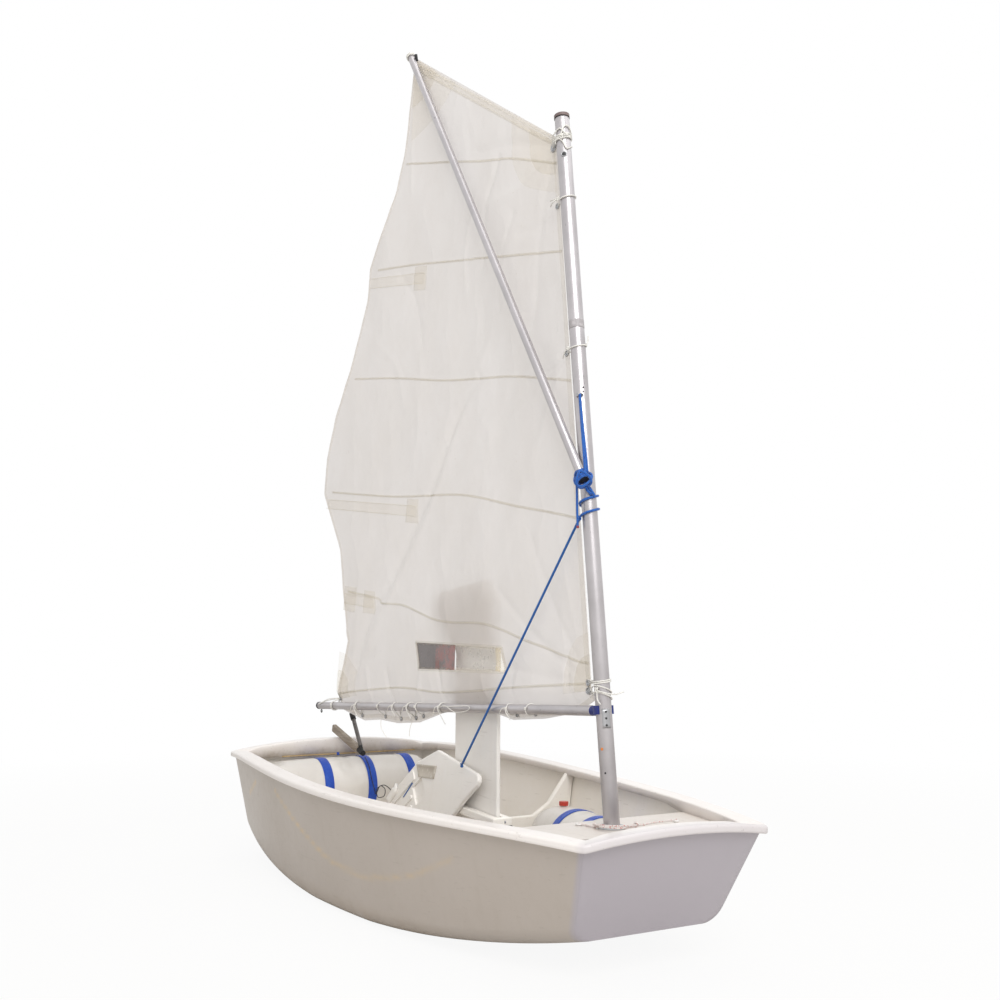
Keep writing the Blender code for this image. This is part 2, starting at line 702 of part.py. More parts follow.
def build_board():
    """Blade and head in one outline, with the stop on its port face."""
    half = BOARD_CHORD / 2
    end = -half - BOARD_HANDLE
    blade = [(-half, 0), (half, 0), (half, BOARD_LENGTH - BOARD_NOSE), (half - BOARD_NOSE, BOARD_LENGTH),
             (end, BOARD_LENGTH - HANDLE_HIGH), (end, BOARD_LENGTH - HANDLE_LOW),
             (-half, BOARD_LENGTH - HANDLE_START)]
    outline = [tuple(p) for p in rounded(blade, BOARD_TIP_RADIUS, 4)]
    board = prism("daggerboard", outline, BOARD_THICK, board_gelcoat, board_matrix())
    bevel(board, BOARD_THICK * 0.3)
    low = BOARD_LENGTH - HANDLE_HIGH - BOARD_STOP_DROP - BOARD_STOP_HEIGHT
    stop = box("daggerboard_stop", (-half + BOARD_TIP_RADIUS, BOARD_THICK / 2 + GAP, low),
               (half - BOARD_NOSE, BOARD_THICK / 2 + GAP + BOARD_STOP_THICK, low + BOARD_STOP_HEIGHT),
               black_plastic)
    stop.data.transform(board_matrix())
    bevel(stop, BOARD_STOP_THICK * 0.2)
    return board, stop


def bag_profile(length, radius):
    """Half profile of an inflated bag: round shoulders and pinched ends."""
    shares = ((0.0, 0.30), (0.012, 0.52), (0.035, 0.74), (0.08, 0.92), (0.15, 1.0))
    first = [(radius * r, -length / 2 + length * along) for along, r in shares]
    return first + [(r, -z) for r, z in reversed(first)]


def build_bag(name, length, radius, place, material):
    rings = []
    for r, along in bag_profile(length, radius):
        rings.append([place @ Vector((r * math.cos(a), r * math.sin(a), along))
                      for a in np.linspace(0, 2 * math.pi, BAG_SIDES, endpoint=False)])
    return loft(name, rings, material)


def build_strap(name, radius, along, place):
    """A band of webbing round a bag."""
    inner, outer = radius + GAP, radius + GAP + STRAP_THICK
    profile = [(inner, -1), (outer, -1), (outer, 1), (inner, 1)]
    rings = []
    for a in np.linspace(0, 2 * math.pi, BAG_SIDES, endpoint=False):
        rings.append([place @ Vector((r * math.cos(a), r * math.sin(a), along + side * STRAP_WIDTH / 2))
                      for r, side in profile])
    return loft(name, rings, webbing, closed=True)


def transom_inside(z):
    """X of the stern transom's inner face at this height."""
    d, b, low = chine(1.0)
    lean = transom_lean(1.0)
    return aft(d) + lean * (z - low) + SHELL * math.hypot(1, lean)


def build_bags():
    reach = STERN_BAG_RADIUS + STRAP_THICK + 2 * GAP
    x = transom_inside(STERN_BAG_Z) + reach * math.hypot(1, transom_lean(1.0))
    across_boat = Matrix.Translation((x, 0, STERN_BAG_Z)) @ Matrix.Rotation(math.pi / 2, 4, "X")
    build_bag("stern_bag", STERN_BAG_LENGTH, STERN_BAG_RADIUS, across_boat, bag_film)
    for number, side in enumerate(STERN_STRAP_SIDES, 1):
        build_strap(f"stern_bag_strap_{number}", STERN_BAG_RADIUS, -side, across_boat)
    for side_name, side in (("port", 1), ("starboard", -1)):
        place = side_bag_place(side)
        build_bag(f"{side_name}_bag", SIDE_BAG_LENGTH, SIDE_BAG_RADIUS, place, bag_film)
        for number, share in enumerate(SIDE_STRAP_SHARES, 1):
            build_strap(f"{side_name}_bag_strap_{number}", SIDE_BAG_RADIUS, share * SIDE_BAG_LENGTH, place)
        top = place @ Vector((-SIDE_BAG_RADIUS - GAP, 0, SIDE_BAG_LENGTH * CAP_SHARE))
        rod(f"{side_name}_bag_cap", top, top + Vector((0, 0, CAP_HEIGHT)), CAP_RADIUS, red_plastic, 20)


def side_bag_place(side):
    """Lays a side bag along the hull's side and moves it out until it touches."""
    ends = [inner_side(aft(SIDE_BAG_AFT) + way * SIDE_BAG_LENGTH / 2, SIDE_BAG_Z) for way in (-1, 1)]
    slope = math.atan2(ends[0] - ends[1], SIDE_BAG_LENGTH)
    turn = Matrix.Rotation(-slope, 4, "Z") @ Matrix.Rotation(math.pi / 2, 4, "Y")
    start_place = Matrix.Translation((aft(SIDE_BAG_AFT), 0, SIDE_BAG_Z)) @ turn
    outer = [(r, along) for r, along in bag_profile(SIDE_BAG_LENGTH, SIDE_BAG_RADIUS)]
    strap_radius = SIDE_BAG_RADIUS + STRAP_THICK + GAP
    for share in SIDE_STRAP_SHARES:
        for way in (-1, 1):
            outer.append((strap_radius, share * SIDE_BAG_LENGTH + way * STRAP_WIDTH / 2))
    room = []
    for r, along in outer:
        for angle in np.linspace(0, 2 * math.pi, BAG_SIDES, endpoint=False):
            point = start_place @ Vector((r * math.cos(angle), r * math.sin(angle), along))
            room.append(inner_side(point.x, point.z) - point.y)
    y = min(room) - 2 * GAP
    turn = Matrix.Rotation(-side * slope, 4, "Z") @ Matrix.Rotation(math.pi / 2, 4, "Y")
    return Matrix.Translation((aft(SIDE_BAG_AFT), side * y, SIDE_BAG_Z)) @ turn


def build_gudgeons():
    """Two strap brackets for the rudder on the stern transom, each with an upright eye."""
    x_top, breadth, top = sheer(1.0)
    d, b, low = chine(1.0)
    lean = (aft(x_top) - aft(d)) / (top - low)
    for name, share in GUDGEON_SHARES:
        z = low + (top - low) * share
        face = aft(d) + lean * (z - low) + RAIL_OUT * share - GAP
        plate = box(name, (face - GUDGEON_THICK - GAP, -GUDGEON_WIDTH / 2, z - GUDGEON_HEIGHT / 2),
                    (face - GAP, GUDGEON_WIDTH / 2, z + GUDGEON_HEIGHT / 2), steel)
        axis = face - GUDGEON_REACH
        outer = EYE_BORE + EYE_WALL
        arm = box(name + "_arm", (axis, -outer * 0.8, z - ARM_THICK / 2),
                  (face - GUDGEON_THICK / 2, outer * 0.8, z + ARM_THICK / 2), steel)
        eye = rod(name + "_eye", (axis, 0, z - EYE_HEIGHT / 2), (axis, 0, z + EYE_HEIGHT / 2),
                  outer, steel, 20)
        hole = rod(name + "_hole", (axis, 0, z - OVERRUN), (axis, 0, z + OVERRUN), EYE_BORE, steel, 16)
        combine(plate, arm, "UNION")
        combine(plate, eye, "UNION")
        combine(plate, hole, "DIFFERENCE")


# Rudder: (share of its length forward of its aft end, share of its depth up from its lower edge)
RUDDER_SHARES = ((0.0, 0.120), (0.317, 0.788), (0.516, 1.0), (1.0, 0.743), (0.836, 0.393), (0.683, 0.0),
                 (0.144, 0.0))


# Ribs of the rudder's head: start and end along its aft edge, offset from it and width, in its depth.
# The last is the pocket.
RIB_SHARES = ((0.12, 0.86, 0.05, 0.16), (0.10, 0.70, 0.36, 0.06), (0.16, 0.66, 0.50, 0.05),
              (0.74, 1.02, 0.27, 0.30))


def build_rudder():
    """The unshipped rudder, stowed on its edge: on the frame's top and against the case's cap."""
    end = aft(FRAME_AFT + RUDDER_PAST)
    low = FRAME_TOP + 2 * GAP
    edge = -CASE_CAP_WIDTH / 2 - GAP - RUDDER_THICK / 2 / math.cos(RUDDER_TILT)
    rest = CASE_TOP + CASE_RISE
    tilt = (Matrix.Translation((0, edge, rest)) @ Matrix.Rotation(-RUDDER_TILT, 4, "X")
            @ Matrix.Translation((0, 0, -rest)))
    points = [(end + RUDDER_LENGTH * along, low + RUDDER_DEPTH * up) for along, up in RUDDER_SHARES]
    outline = [tuple(p) for p in rounded(points, RUDDER_CORNER, 3)]
    rudder = prism("rudder", outline, RUDDER_THICK, board_gelcoat, tilt)
    bevel(rudder, RUDDER_THICK * 0.28)
    corner, shoulder = Vector(points[0]), Vector(points[1])
    way = (shoulder - corner).normalized()
    inward = Vector((way.y, -way.x))
    face = tilt @ Matrix.Translation((0, -RUDDER_THICK / 2, 0))
    for number, (start_share, end_share, off_share, wide_share) in enumerate(RIB_SHARES):
        low_end = corner.lerp(shoulder, start_share) + inward * RUDDER_DEPTH * off_share
        high_end = corner.lerp(shoulder, end_share) + inward * RUDDER_DEPTH * off_share
        wide = inward * RUDDER_DEPTH * wide_share
        patch = [low_end, high_end, high_end + wide, low_end + wide]
        pocket = number == len(RIB_SHARES) - 1
        deep = RUDDER_POCKET if pocket else RUDDER_RIB
        outline = [tuple(p) for p in rounded(patch, RUDDER_RIB, 2)]
        piece = prism(f"rudder_rib_{number}", outline, deep * 2, board_gelcoat, face)
        combine(rudder, piece, "DIFFERENCE" if pocket else "UNION")
    return rudder


def build_tiller():
    """The tiller lies over the stern rail, tipped up aft; its extension stands up to the boom."""
    contact = LENGTH - RAIL_OUT - FLANGE_WIDTH + FLANGE_THICK
    rail_top = sheer(1.0)[2] + STERN_CROWN
    middle = rail_top + GAP + TILLER_DEPTH / 2 / math.cos(TILLER_SLOPE)
    ends = [Vector((aft(d), TILLER_SIDE, middle + math.tan(TILLER_SLOPE) * (d - contact)))
            for d in (LENGTH + TILLER_PAST, LENGTH + TILLER_PAST - TILLER_LENGTH)]
    stern, front = ends
    along = (front - stern).normalized()
    turn = Matrix.Rotation(TILLER_SLOPE, 4, "Y")
    bar = box("tiller", (0, -TILLER_THICK / 2, -TILLER_DEPTH / 2),
              ((front - stern).length, TILLER_THICK / 2, TILLER_DEPTH / 2), wood)
    bar.data.transform(Matrix.Translation(stern) @ turn)
    bevel(bar, TILLER_THICK * 0.2)
    joint_end = front + along * JOINT_LENGTH
    joint = rod("tiller_joint", front + along * GAP, joint_end, JOINT_RADIUS, black_plastic, 20)
    base = front + along * JOINT_LENGTH * 0.8
    head = Vector((aft(LENGTH - EXTENSION_BEFORE), TILLER_SIDE, EXTENSION_TOP))
    way = (head - base).normalized()
    low = base + way * JOINT_NECK
    neck = rod("joint_neck", base, low, EXTENSION_RADIUS * 0.9, black_plastic, 20)
    combine(joint, neck, "UNION")
    tube_end = head - way * GRIP_LENGTH
    rod("tiller_extension", low + way * GAP, tube_end, EXTENSION_RADIUS, anodised, 20)
    rod("extension_grip", tube_end + way * GAP, head, EXTENSION_RADIUS * 1.35, black_plastic, 20)


def parent_to(item, empty):
    item.parent = empty


def build_spars(rig):
    mast = rod("mast", (0, 0, 0), (0, 0, MAST_LENGTH), MAST_RADIUS, anodised, 32)
    plug = rod("mast_plug", (0, 0, MAST_LENGTH + GAP), (0, 0, MAST_LENGTH + MAST_PLUG), MAST_RADIUS * 1.06,
               black_plastic, 32)
    start_point = Vector((-BOOM_START, 0, BOOM_Z))
    along = Vector((-math.cos(BOOM_DROOP), 0, -math.sin(BOOM_DROOP)))
    end_point = start_point + along * (BOOM_END - BOOM_START)
    boom = rod("boom", start_point, end_point, BOOM_RADIUS, anodised, 24)
    end_plug = rod("boom_end_plug", end_point + along * GAP, end_point + along * BOOM_PLUG,
                   BOOM_RADIUS * 1.05, black_plastic, 24)
    jaw = build_jaw(rig, start_point, along)
    foot, peak = sprit_ends()
    way = (peak - foot).normalized()
    sprit = rod("sprit", foot + way * SPRIT_FOOT_CAP, peak - way * SPRIT_PEAK_CAP,
                SPRIT_RADIUS, anodised, 24)
    low = rod("sprit_foot_fitting", foot, foot + way * (SPRIT_FOOT_CAP - GAP),
              SPRIT_RADIUS * 1.1, black_plastic, 20, end_radius=SPRIT_RADIUS)
    high = rod("sprit_peak_fitting", peak - way * (SPRIT_PEAK_CAP - GAP), peak,
               SPRIT_RADIUS, grey_plastic, 20, end_radius=SPRIT_RADIUS * 0.55)
    build_peak_ring(rig, foot, way)
    build_boom_eye(rig, end_point, along)
    for item in (mast, plug, boom, end_plug, jaw, sprit, low, high):
        parent_to(item, rig)


def sprit_ends():
    """The sprit's foot stands off the mast; its peak touches the sail."""
    peak_side = SAIL_THICK / 2 + SPRIT_RADIUS + 2 * GAP
    return (Vector((-SPRIT_FOOT[0], -SPRIT_FOOT_SIDE, SPRIT_FOOT[1])),
            Vector((-SPRIT_PEAK[0], -peak_side, SPRIT_PEAK[1])))


def build_peak_ring(rig, foot, way):
    """The turns of cord round the sprit that hold the sail's peak, just past its corner."""
    corner = Vector((-PEAK[0], 0, PEAK[1]))
    half = way * PEAK_RING_LENGTH / 2
    middle = foot + way * ((corner - foot).dot(way) + GAP) + half
    ring = rod("peak_ring", middle - half, middle + half, SPRIT_RADIUS + PEAK_RING_WALL, white_cord, 24)
    bore = rod("peak_bore", middle - half * 2, middle + half * 2, SPRIT_RADIUS + GAP, white_cord, 24)
    combine(ring, bore, "DIFFERENCE")
    for item in (ring, bore):
        parent_to(item, rig)


def build_boom_eye(rig, end_point, along):
    """A small wire eye under the boom's aft end."""
    middle = end_point - along * BOOM_EYE_RADIUS * 2
    middle.z -= (BOOM_RADIUS + BOOM_EYE_RADIUS + TIE_RADIUS) / math.cos(BOOM_DROOP) + GAP
    points = [middle + Vector((BOOM_EYE_RADIUS * math.cos(a), 0, BOOM_EYE_RADIUS * math.sin(a)))
              for a in np.linspace(0, 2 * math.pi, 16, endpoint=False)]
    parent_to(tube("boom_eye", points, TIE_RADIUS, steel, closed=True), rig)


def build_ties(rig):
    """Cord loops that hold the luff to the mast and the clew to the boom."""
    for number, share in enumerate(TIE_SHARES, 1):
        edge = sail_point(0.0, share)
        reach = MAST_RADIUS + TIE_RADIUS + 2 * GAP
        leave = math.pi - math.acos(reach / (TIE_RADIUS - edge.x))
        points = [Vector((reach * math.cos(a), reach * math.sin(a), edge.z))
                  for a in np.linspace(-leave, leave, 21)]
        points.append(Vector((edge.x + TIE_RADIUS + GAP, edge.y, edge.z)))
        parent_to(tube(f"luff_tie_{number}", points, TIE_RADIUS, white_cord, closed=True), rig)
    reach = BOOM_RADIUS + TIE_RADIUS + GAP
    back = CLEW[0] + TIE_RADIUS + GAP * 2
    middle = Vector((-back, 0, boom_height(back)))
    turn = Matrix.Rotation(-BOOM_DROOP, 3, "Y")
    points = [middle + turn @ Vector((0, reach * math.cos(a), reach * math.sin(a)))
              for a in np.linspace(0, 2 * math.pi, 20, endpoint=False)]
    parent_to(tube("clew_tie", points, TIE_RADIUS, white_cord, closed=True), rig)


def build_snotter(rig):
    """The rope from an eye on the mast, under the sprit's foot and round the mast."""
    out = Vector((math.cos(EYE_TURN), math.sin(EYE_TURN), 0))
    base = out * (MAST_RADIUS + GAP) + Vector((0, 0, EYE_UP))
    parent_to(rod("mast_eye", base, base + out * EYE_REACH, EYE_RADIUS, steel, 16), rig)
    reach = (MAST_RADIUS + ROPE_RADIUS + GAP) / math.cos(math.pi / WRAP_SIDES)
    foot, peak = sprit_ends()
    under = foot - (peak - foot).normalized() * ROPE_RADIUS
    points = [out * reach + Vector((0, 0, EYE_UP - EYE_RADIUS - ROPE_RADIUS - GAP))]
    way = (peak - foot).normalized()
    ahead = Vector((way.z, 0, -way.x)).normalized() * (SPRIT_RADIUS * 1.1 + ROPE_RADIUS + GAP * 3)
    points.append(foot + way * SPRIT_FOOT_CAP * 0.5 + ahead)
    points.append(under + ahead)
    points.append(under)
    points.append(under - Vector((-ROPE_RADIUS * 2, 0, ROPE_RADIUS * 4)))
    steps = int(WRAP_TURNS * WRAP_SIDES)
    for i in range(steps + 1):
        angle = WRAP_START - 2 * math.pi * WRAP_TURNS * i / steps
        points.append(Vector((reach * math.cos(angle), reach * math.sin(angle),
                              WRAP_UP - WRAP_PITCH * WRAP_TURNS * i / steps)))
    parent_to(tube("snotter", points, ROPE_RADIUS, blue_rope), rig)


def build_window(rig, sail):
    """Cuts the sail's window and lays the clear pane over it on the port face."""
    corners = [Vector(c) for c in WINDOW]
    middle = sum(corners, Vector((0, 0))) / len(corners)
    hole = prism("window_cut", [(-(c.x), c.y) for c in corners], OVERRUN * 4, sailcloth)
    parent_to(hole, rig)
    combine(sail, hole, "DIFFERENCE")
    wide = [c + (c - middle).normalized() * WINDOW_HEM for c in corners]
    rings = []
    for along in np.linspace(0, 1, 7):
        top, bottom = wide[0].lerp(wide[1], float(along)), wide[3].lerp(wide[2], float(along))
        front = [top.lerp(bottom, share) for share in (0.0, 0.5, 1.0)]
        near = [sail_side(p.x, p.y) + SAIL_THICK / 2 + GAP * 2 for p in front]
        inner = [Vector((-p.x, y, p.y)) for p, y in zip(front, near)]
        outer = [Vector((-p.x, y + WINDOW_THICK, p.y)) for p, y in zip(front, near)]
        rings.append(inner + outer[::-1])
    parent_to(loft("sail_window", rings, clear_film), rig)


def build_jaw(rig, start_point, along):
    """The gooseneck: a plug in the boom's end and two horns round the mast."""
    inner = MAST_RADIUS + 2 * GAP
    low, high = BOOM_Z - JAW_HEIGHT / 2, BOOM_Z + JAW_HEIGHT / 2
    ring = rod("boom_jaw", (0, 0, low), (0, 0, high), inner + JAW_WALL, navy_plastic, 32)
    neck = rod("jaw_neck", start_point - along * GAP, start_point - along * (BOOM_START - inner),
               BOOM_RADIUS * 0.95, navy_plastic, 24)
    bore = rod("jaw_bore", (0, 0, BOOM_Z - OVERRUN), (0, 0, BOOM_Z + OVERRUN), inner, navy_plastic, 32)
    mouth = box("jaw_mouth", (inner * 0.35, -inner * 2, BOOM_Z - OVERRUN),
                (inner * 3, inner * 2, BOOM_Z + OVERRUN), navy_plastic)
    combine(ring, neck, "UNION")
    combine(ring, bore, "DIFFERENCE")
    combine(ring, mouth, "DIFFERENCE")
    for helper in (neck, bore, mouth):
        helper.parent = rig
    return ring


# Leech: (share of its length up from the clew, share of its length out from the straight line)
LEECH_SHARES = ((0.0, 0.0), (0.066, -0.016), (0.109, -0.023), (0.180, 0.022), (0.240, 0.052),
                (0.288, 0.108), (0.317, 0.142), (0.376, 0.148), (0.449, 0.1325), (0.528, 0.099),
                (0.641, 0.0665), (0.691, 0.071), (0.805, 0.008), (0.863, -0.003), (0.980, 0.0),
                (1.0, 0.0))

# Foot: (share along it from the tack, share of FOOT_DROP that it hangs)
FOOT_DROP_SHARES = ((0.0, 0.10), (0.06, 0.55), (0.15, 0.75), (0.25, 0.80), (0.33, 0.45), (0.42, 0.40),
                    (0.50, 0.55), (0.60, 0.95), (0.70, 1.0), (0.78, 0.85), (0.86, 0.90), (0.94, 0.55),
                    (1.0, 0.25))


def leech_point(share):
    clew, peak = Vector(CLEW), Vector(PEAK)
    along = peak - clew
    out = Vector((along.y, -along.x)).normalized()
    ups = [row[0] for row in LEECH_SHARES]
    outs = [row[1] for row in LEECH_SHARES]
    return clew + along * share + out * along.length * float(np.interp(share, ups, outs))


def boom_height(back):
    """Height of the boom's axis this far aft of the mast."""
    return BOOM_Z - (back - BOOM_START) * math.tan(BOOM_DROOP)


def sail_point(u, v):
    """The sail's middle surface: u from luff to leech, v from foot to head."""
    tack, throat = Vector(TACK), Vector(THROAT)
    luff = tack.lerp(throat, v)
    flat = luff.lerp(leech_point(v), u)
    along, drops = zip(*FOOT_DROP_SHARES)
    flat.y -= FOOT_DROP * float(np.interp(u, along, drops)) * max(0.0, 1 - v / FOOT_FADE) ** 2
    belly = SAIL_BELLY * math.sin(math.pi * u) * math.sin(math.pi * v) ** 1.5
    over = (flat.y - boom_height(flat.x) - BOOM_RADIUS) / FOOT_BLEND
    beside = 1 - min(1.0, max(0.0, over))
    beside = beside * beside * (3 - 2 * beside)
    return Vector((-flat.x, belly + beside * (BOOM_RADIUS + SAIL_THICK / 2 + FOOT_SPACE), flat.y))


# Rows of the sail, closer together where the foot passes the boom
FOOT_ROW_SHARES = (0.0, 0.008, 0.016, 0.025, 0.035, 0.045, 0.06, 0.08)
SAIL_ROWS = 22
SAIL_COLUMNS = 17


def build_sail(rig):
    rings = []
    shift = Vector((0, SAIL_THICK / 2, 0))
    rows = list(FOOT_ROW_SHARES) + [float(v) for v in np.linspace(FOOT_ROW_SHARES[-1], 1, SAIL_ROWS)[1:]]
    for v in rows:
        front = [sail_point(float(u), v) for u in np.linspace(0, 1, SAIL_COLUMNS)]
        rings.append([p - shift for p in front] + [p + shift for p in reversed(front)])
    sail = loft("sail", rings, sailcloth)
    parent_to(sail, rig)
    return sail


# Battens: name, leech end and inner end, each (aft of the mast, up it)
BATTENS = (("batten_top", (1.353, 2.366), (0.926, 2.226)),
           ("batten_middle", (1.842, 1.538), (1.079, 1.354)),
           ("batten_bottom", (1.685, 1.104), (1.424, 1.050)))


def sail_side(back, up):
    """The sail's middle surface at this place, found by walking its two directions."""
    v = (up - TACK[1]) / (THROAT[1] - TACK[1])
    u = 0.5
    for _ in range(40):
        here = sail_point(u, min(1.0, max(0.0, v)))
        u = min(1.0, max(0.0, u + (back + here.x) * 0.5))
        v = min(1.0, max(0.0, v + (up - here.z) * 0.4))
    return sail_point(u, v).y


def build_battens(rig):
    """Three leech battens in their pockets, on the sail's port face."""
    for name, leech_end, inner_end in BATTENS:
        leech_end, inner_end = Vector(leech_end), Vector(inner_end)
        along = (inner_end - leech_end).normalized()
        square = Vector((-along.y, along.x)) * BATTEN_WIDTH / 2
        rings = []
        for share in np.linspace(BATTEN_INSET_SHARE, 1 - BATTEN_INSET_SHARE, 7):
            middle = leech_end.lerp(inner_end, float(share))
            sides = [middle + square, middle - square]
            faces = [sail_side(p.x, p.y) + SAIL_THICK / 2 + GAP * 2 for p in sides]
            out = max(faces)
            rings.append([Vector((-sides[0].x, out, sides[0].y)), Vector((-sides[1].x, out, sides[1].y)),
                          Vector((-sides[1].x, out + BATTEN_THICK, sides[1].y)),
                          Vector((-sides[0].x, out + BATTEN_THICK, sides[0].y))])
        parent_to(loft(name, rings, batten_fibre), rig)


def build_all():
    build_shell()
    build_rail()
    build_thwart()
    build_step()
    build_collar()
    build_frame()
    build_case()
    board, stop = build_board()
    build_bags()
    build_gudgeons()
    build_rudder()
    build_tiller()
    rig = bpy.data.objects.new("rig_axis", None)
    parts.objects.link(rig)
    rig.matrix_world = rig_matrix()
    build_spars(rig)
    sail = build_sail(rig)
    build_window(rig, sail)
    build_battens(rig)
    build_ties(rig)
    build_snotter(rig)


build_all()
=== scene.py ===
# A small square-bowed sailing dinghy: its looks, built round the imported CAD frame.
import json
import math

import bmesh
import bpy
import numpy as np
from mathutils import Matrix, Vector, noise
from mathutils.bvhtree import BVHTree

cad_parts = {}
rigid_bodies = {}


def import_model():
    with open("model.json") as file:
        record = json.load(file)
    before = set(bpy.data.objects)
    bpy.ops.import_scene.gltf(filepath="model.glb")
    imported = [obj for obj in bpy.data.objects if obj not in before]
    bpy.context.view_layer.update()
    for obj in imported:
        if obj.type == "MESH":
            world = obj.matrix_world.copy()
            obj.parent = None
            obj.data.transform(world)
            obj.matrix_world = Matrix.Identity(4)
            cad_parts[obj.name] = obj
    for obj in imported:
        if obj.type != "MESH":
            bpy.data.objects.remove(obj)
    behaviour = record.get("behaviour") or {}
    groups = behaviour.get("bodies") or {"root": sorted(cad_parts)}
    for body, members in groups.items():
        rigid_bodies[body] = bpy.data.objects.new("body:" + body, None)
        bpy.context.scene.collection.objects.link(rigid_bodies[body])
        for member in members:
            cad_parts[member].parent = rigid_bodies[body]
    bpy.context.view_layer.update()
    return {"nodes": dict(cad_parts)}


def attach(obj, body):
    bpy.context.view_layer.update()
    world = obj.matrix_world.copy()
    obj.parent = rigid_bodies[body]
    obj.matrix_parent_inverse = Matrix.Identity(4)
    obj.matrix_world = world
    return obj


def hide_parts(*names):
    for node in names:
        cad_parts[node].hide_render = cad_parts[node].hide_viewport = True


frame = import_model()
nodes = frame["nodes"]
print("frame loaded:", len(nodes), "nodes")


# Small tools for angles, ways and lengths
farOff = 9.0


def circle(count):
    # angles evenly round a full turn
    return np.linspace(0, 2 * math.pi, count, endpoint=False)


def unit(way):
    return way / np.linalg.norm(way)


def roundLoop(centre, first, second, radius, count):
    # a ring of places, from its middle and the two ways across it
    return [centre + (first * math.cos(a) + second * math.sin(a)) * radius for a in circle(count)]


def runLength(points):
    return float(np.linalg.norm(np.diff(np.array(points, float), axis=0), axis=1).sum())


def lineDistance(points, line):
    # how far each point lies from a line of straight legs
    best = np.full(len(points), farOff)
    for start, end in zip(line, line[1:]):
        start, leg = np.array(start), np.array(end) - np.array(start)
        along = np.clip(((points - start) @ leg) / max(1e-9, np.dot(leg, leg)), 0, 1)
        best = np.minimum(best, np.linalg.norm(points - (start + along[:, None] * leg), axis=1))
    return best


def placeObject(name, data):
    placed = bpy.data.objects.new(name, data)
    bpy.context.scene.collection.objects.link(placed)
    return placed


# Material tools. Colours are written as they look, 0 to 255.
def shade(red, green, blue):
    linear = [c / 255 / 12.92 if c <= 10 else ((c / 255 + 0.055) / 1.055) ** 2.4 for c in (red, green, blue)]
    return (*linear, 1.0)


def addNode(tree, kind, inputs=None, **settings):
    node = tree.nodes.new("ShaderNode" + kind)
    for key, value in settings.items():
        setattr(node, key, value)
    for key, value in (inputs or {}).items():
        if isinstance(value, bpy.types.NodeSocket):
            tree.links.new(value, node.inputs[key])
        else:
            node.inputs[key].default_value = value
    return node


def startMaterial(name, colour, roughness, metallic=0.0, **sockets):
    material = bpy.data.materials.new(name)
    material.use_nodes = True
    tree = material.node_tree
    shader = tree.nodes["Principled BSDF"]
    shader.inputs["Base Color"].default_value = shade(*colour)
    shader.inputs["Roughness"].default_value = roughness
    shader.inputs["Metallic"].default_value = metallic
    for key, value in sockets.items():
        shader.inputs[key.replace("_", " ")].default_value = value
    material.diffuse_color = shade(*colour)
    place = addNode(tree, "TexCoord")
    return material, tree, shader, place


def grain(tree, place, scale, detail=4.0, roughness=0.55, stretch=None, coords="Object"):
    vector = place.outputs[coords]
    if stretch:
        vector = addNode(tree, "Mapping", {"Vector": vector, "Scale": stretch}).outputs["Vector"]
    return addNode(tree, "TexNoise", {"Vector": vector, "Scale": scale, "Detail": detail,
            "Roughness": roughness}).outputs["Fac"]


def spread(tree, value, low, high, outLow=0.0, outHigh=1.0):
    node = addNode(tree, "MapRange", {"Value": value, "From Min": low, "From Max": high, "To Min": outLow,
            "To Max": outHigh})
    return node.outputs["Result"]


def sums(tree, operation, first, second):
    node = addNode(tree, "Math", operation=operation)
    for slot, value in enumerate((first, second)):
        if isinstance(value, bpy.types.NodeSocket):
            tree.links.new(value, node.inputs[slot])
        else:
            node.inputs[slot].default_value = value
    return node.outputs[0]


def blendColours(tree, factor, first, second):
    node = addNode(tree, "Mix", data_type="RGBA")
    for slot, value in ((0, factor), (6, first), (7, second)):
        if isinstance(value, bpy.types.NodeSocket):
            tree.links.new(value, node.inputs[slot])
        else:
            node.inputs[slot].default_value = value
    return node.outputs[2]


def stained(tree, paint, mask, level, colour):
    # the paint, with another colour over it where the mask is
    return blendColours(tree, sums(tree, "MULTIPLY", mask, level), paint, shade(*colour))


def bumped(tree, shader, height, distance, strength=1.0, under=None):
    inputs = {"Height": height, "Distance": distance, "Strength": strength}
    if under:
        inputs["Normal"] = under
    normal = addNode(tree, "Bump", inputs).outputs["Normal"]
    tree.links.new(normal, shader.inputs["Normal"])
    return normal


def paintMark(tree, name):
    return addNode(tree, "Attribute", attribute_name=name).outputs["Fac"]


# Mesh tools
def makePiece(name, points, faces, material, body, uvs=None, smooth=True):
    mesh = bpy.data.meshes.new(name)
    mesh.from_pydata([tuple(p) for p in points], [], faces)
    if uvs is not None:
        layer = mesh.uv_layers.new(name="UVMap")
        layer.data.foreach_set("uv", np.array(uvs, np.float32).reshape(-1))
    mesh.polygons.foreach_set("use_smooth", [smooth] * len(mesh.polygons))
    mesh.update()
    piece = placeObject(name, mesh)
    piece.data.materials.append(material)
    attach(piece, body)
    return piece


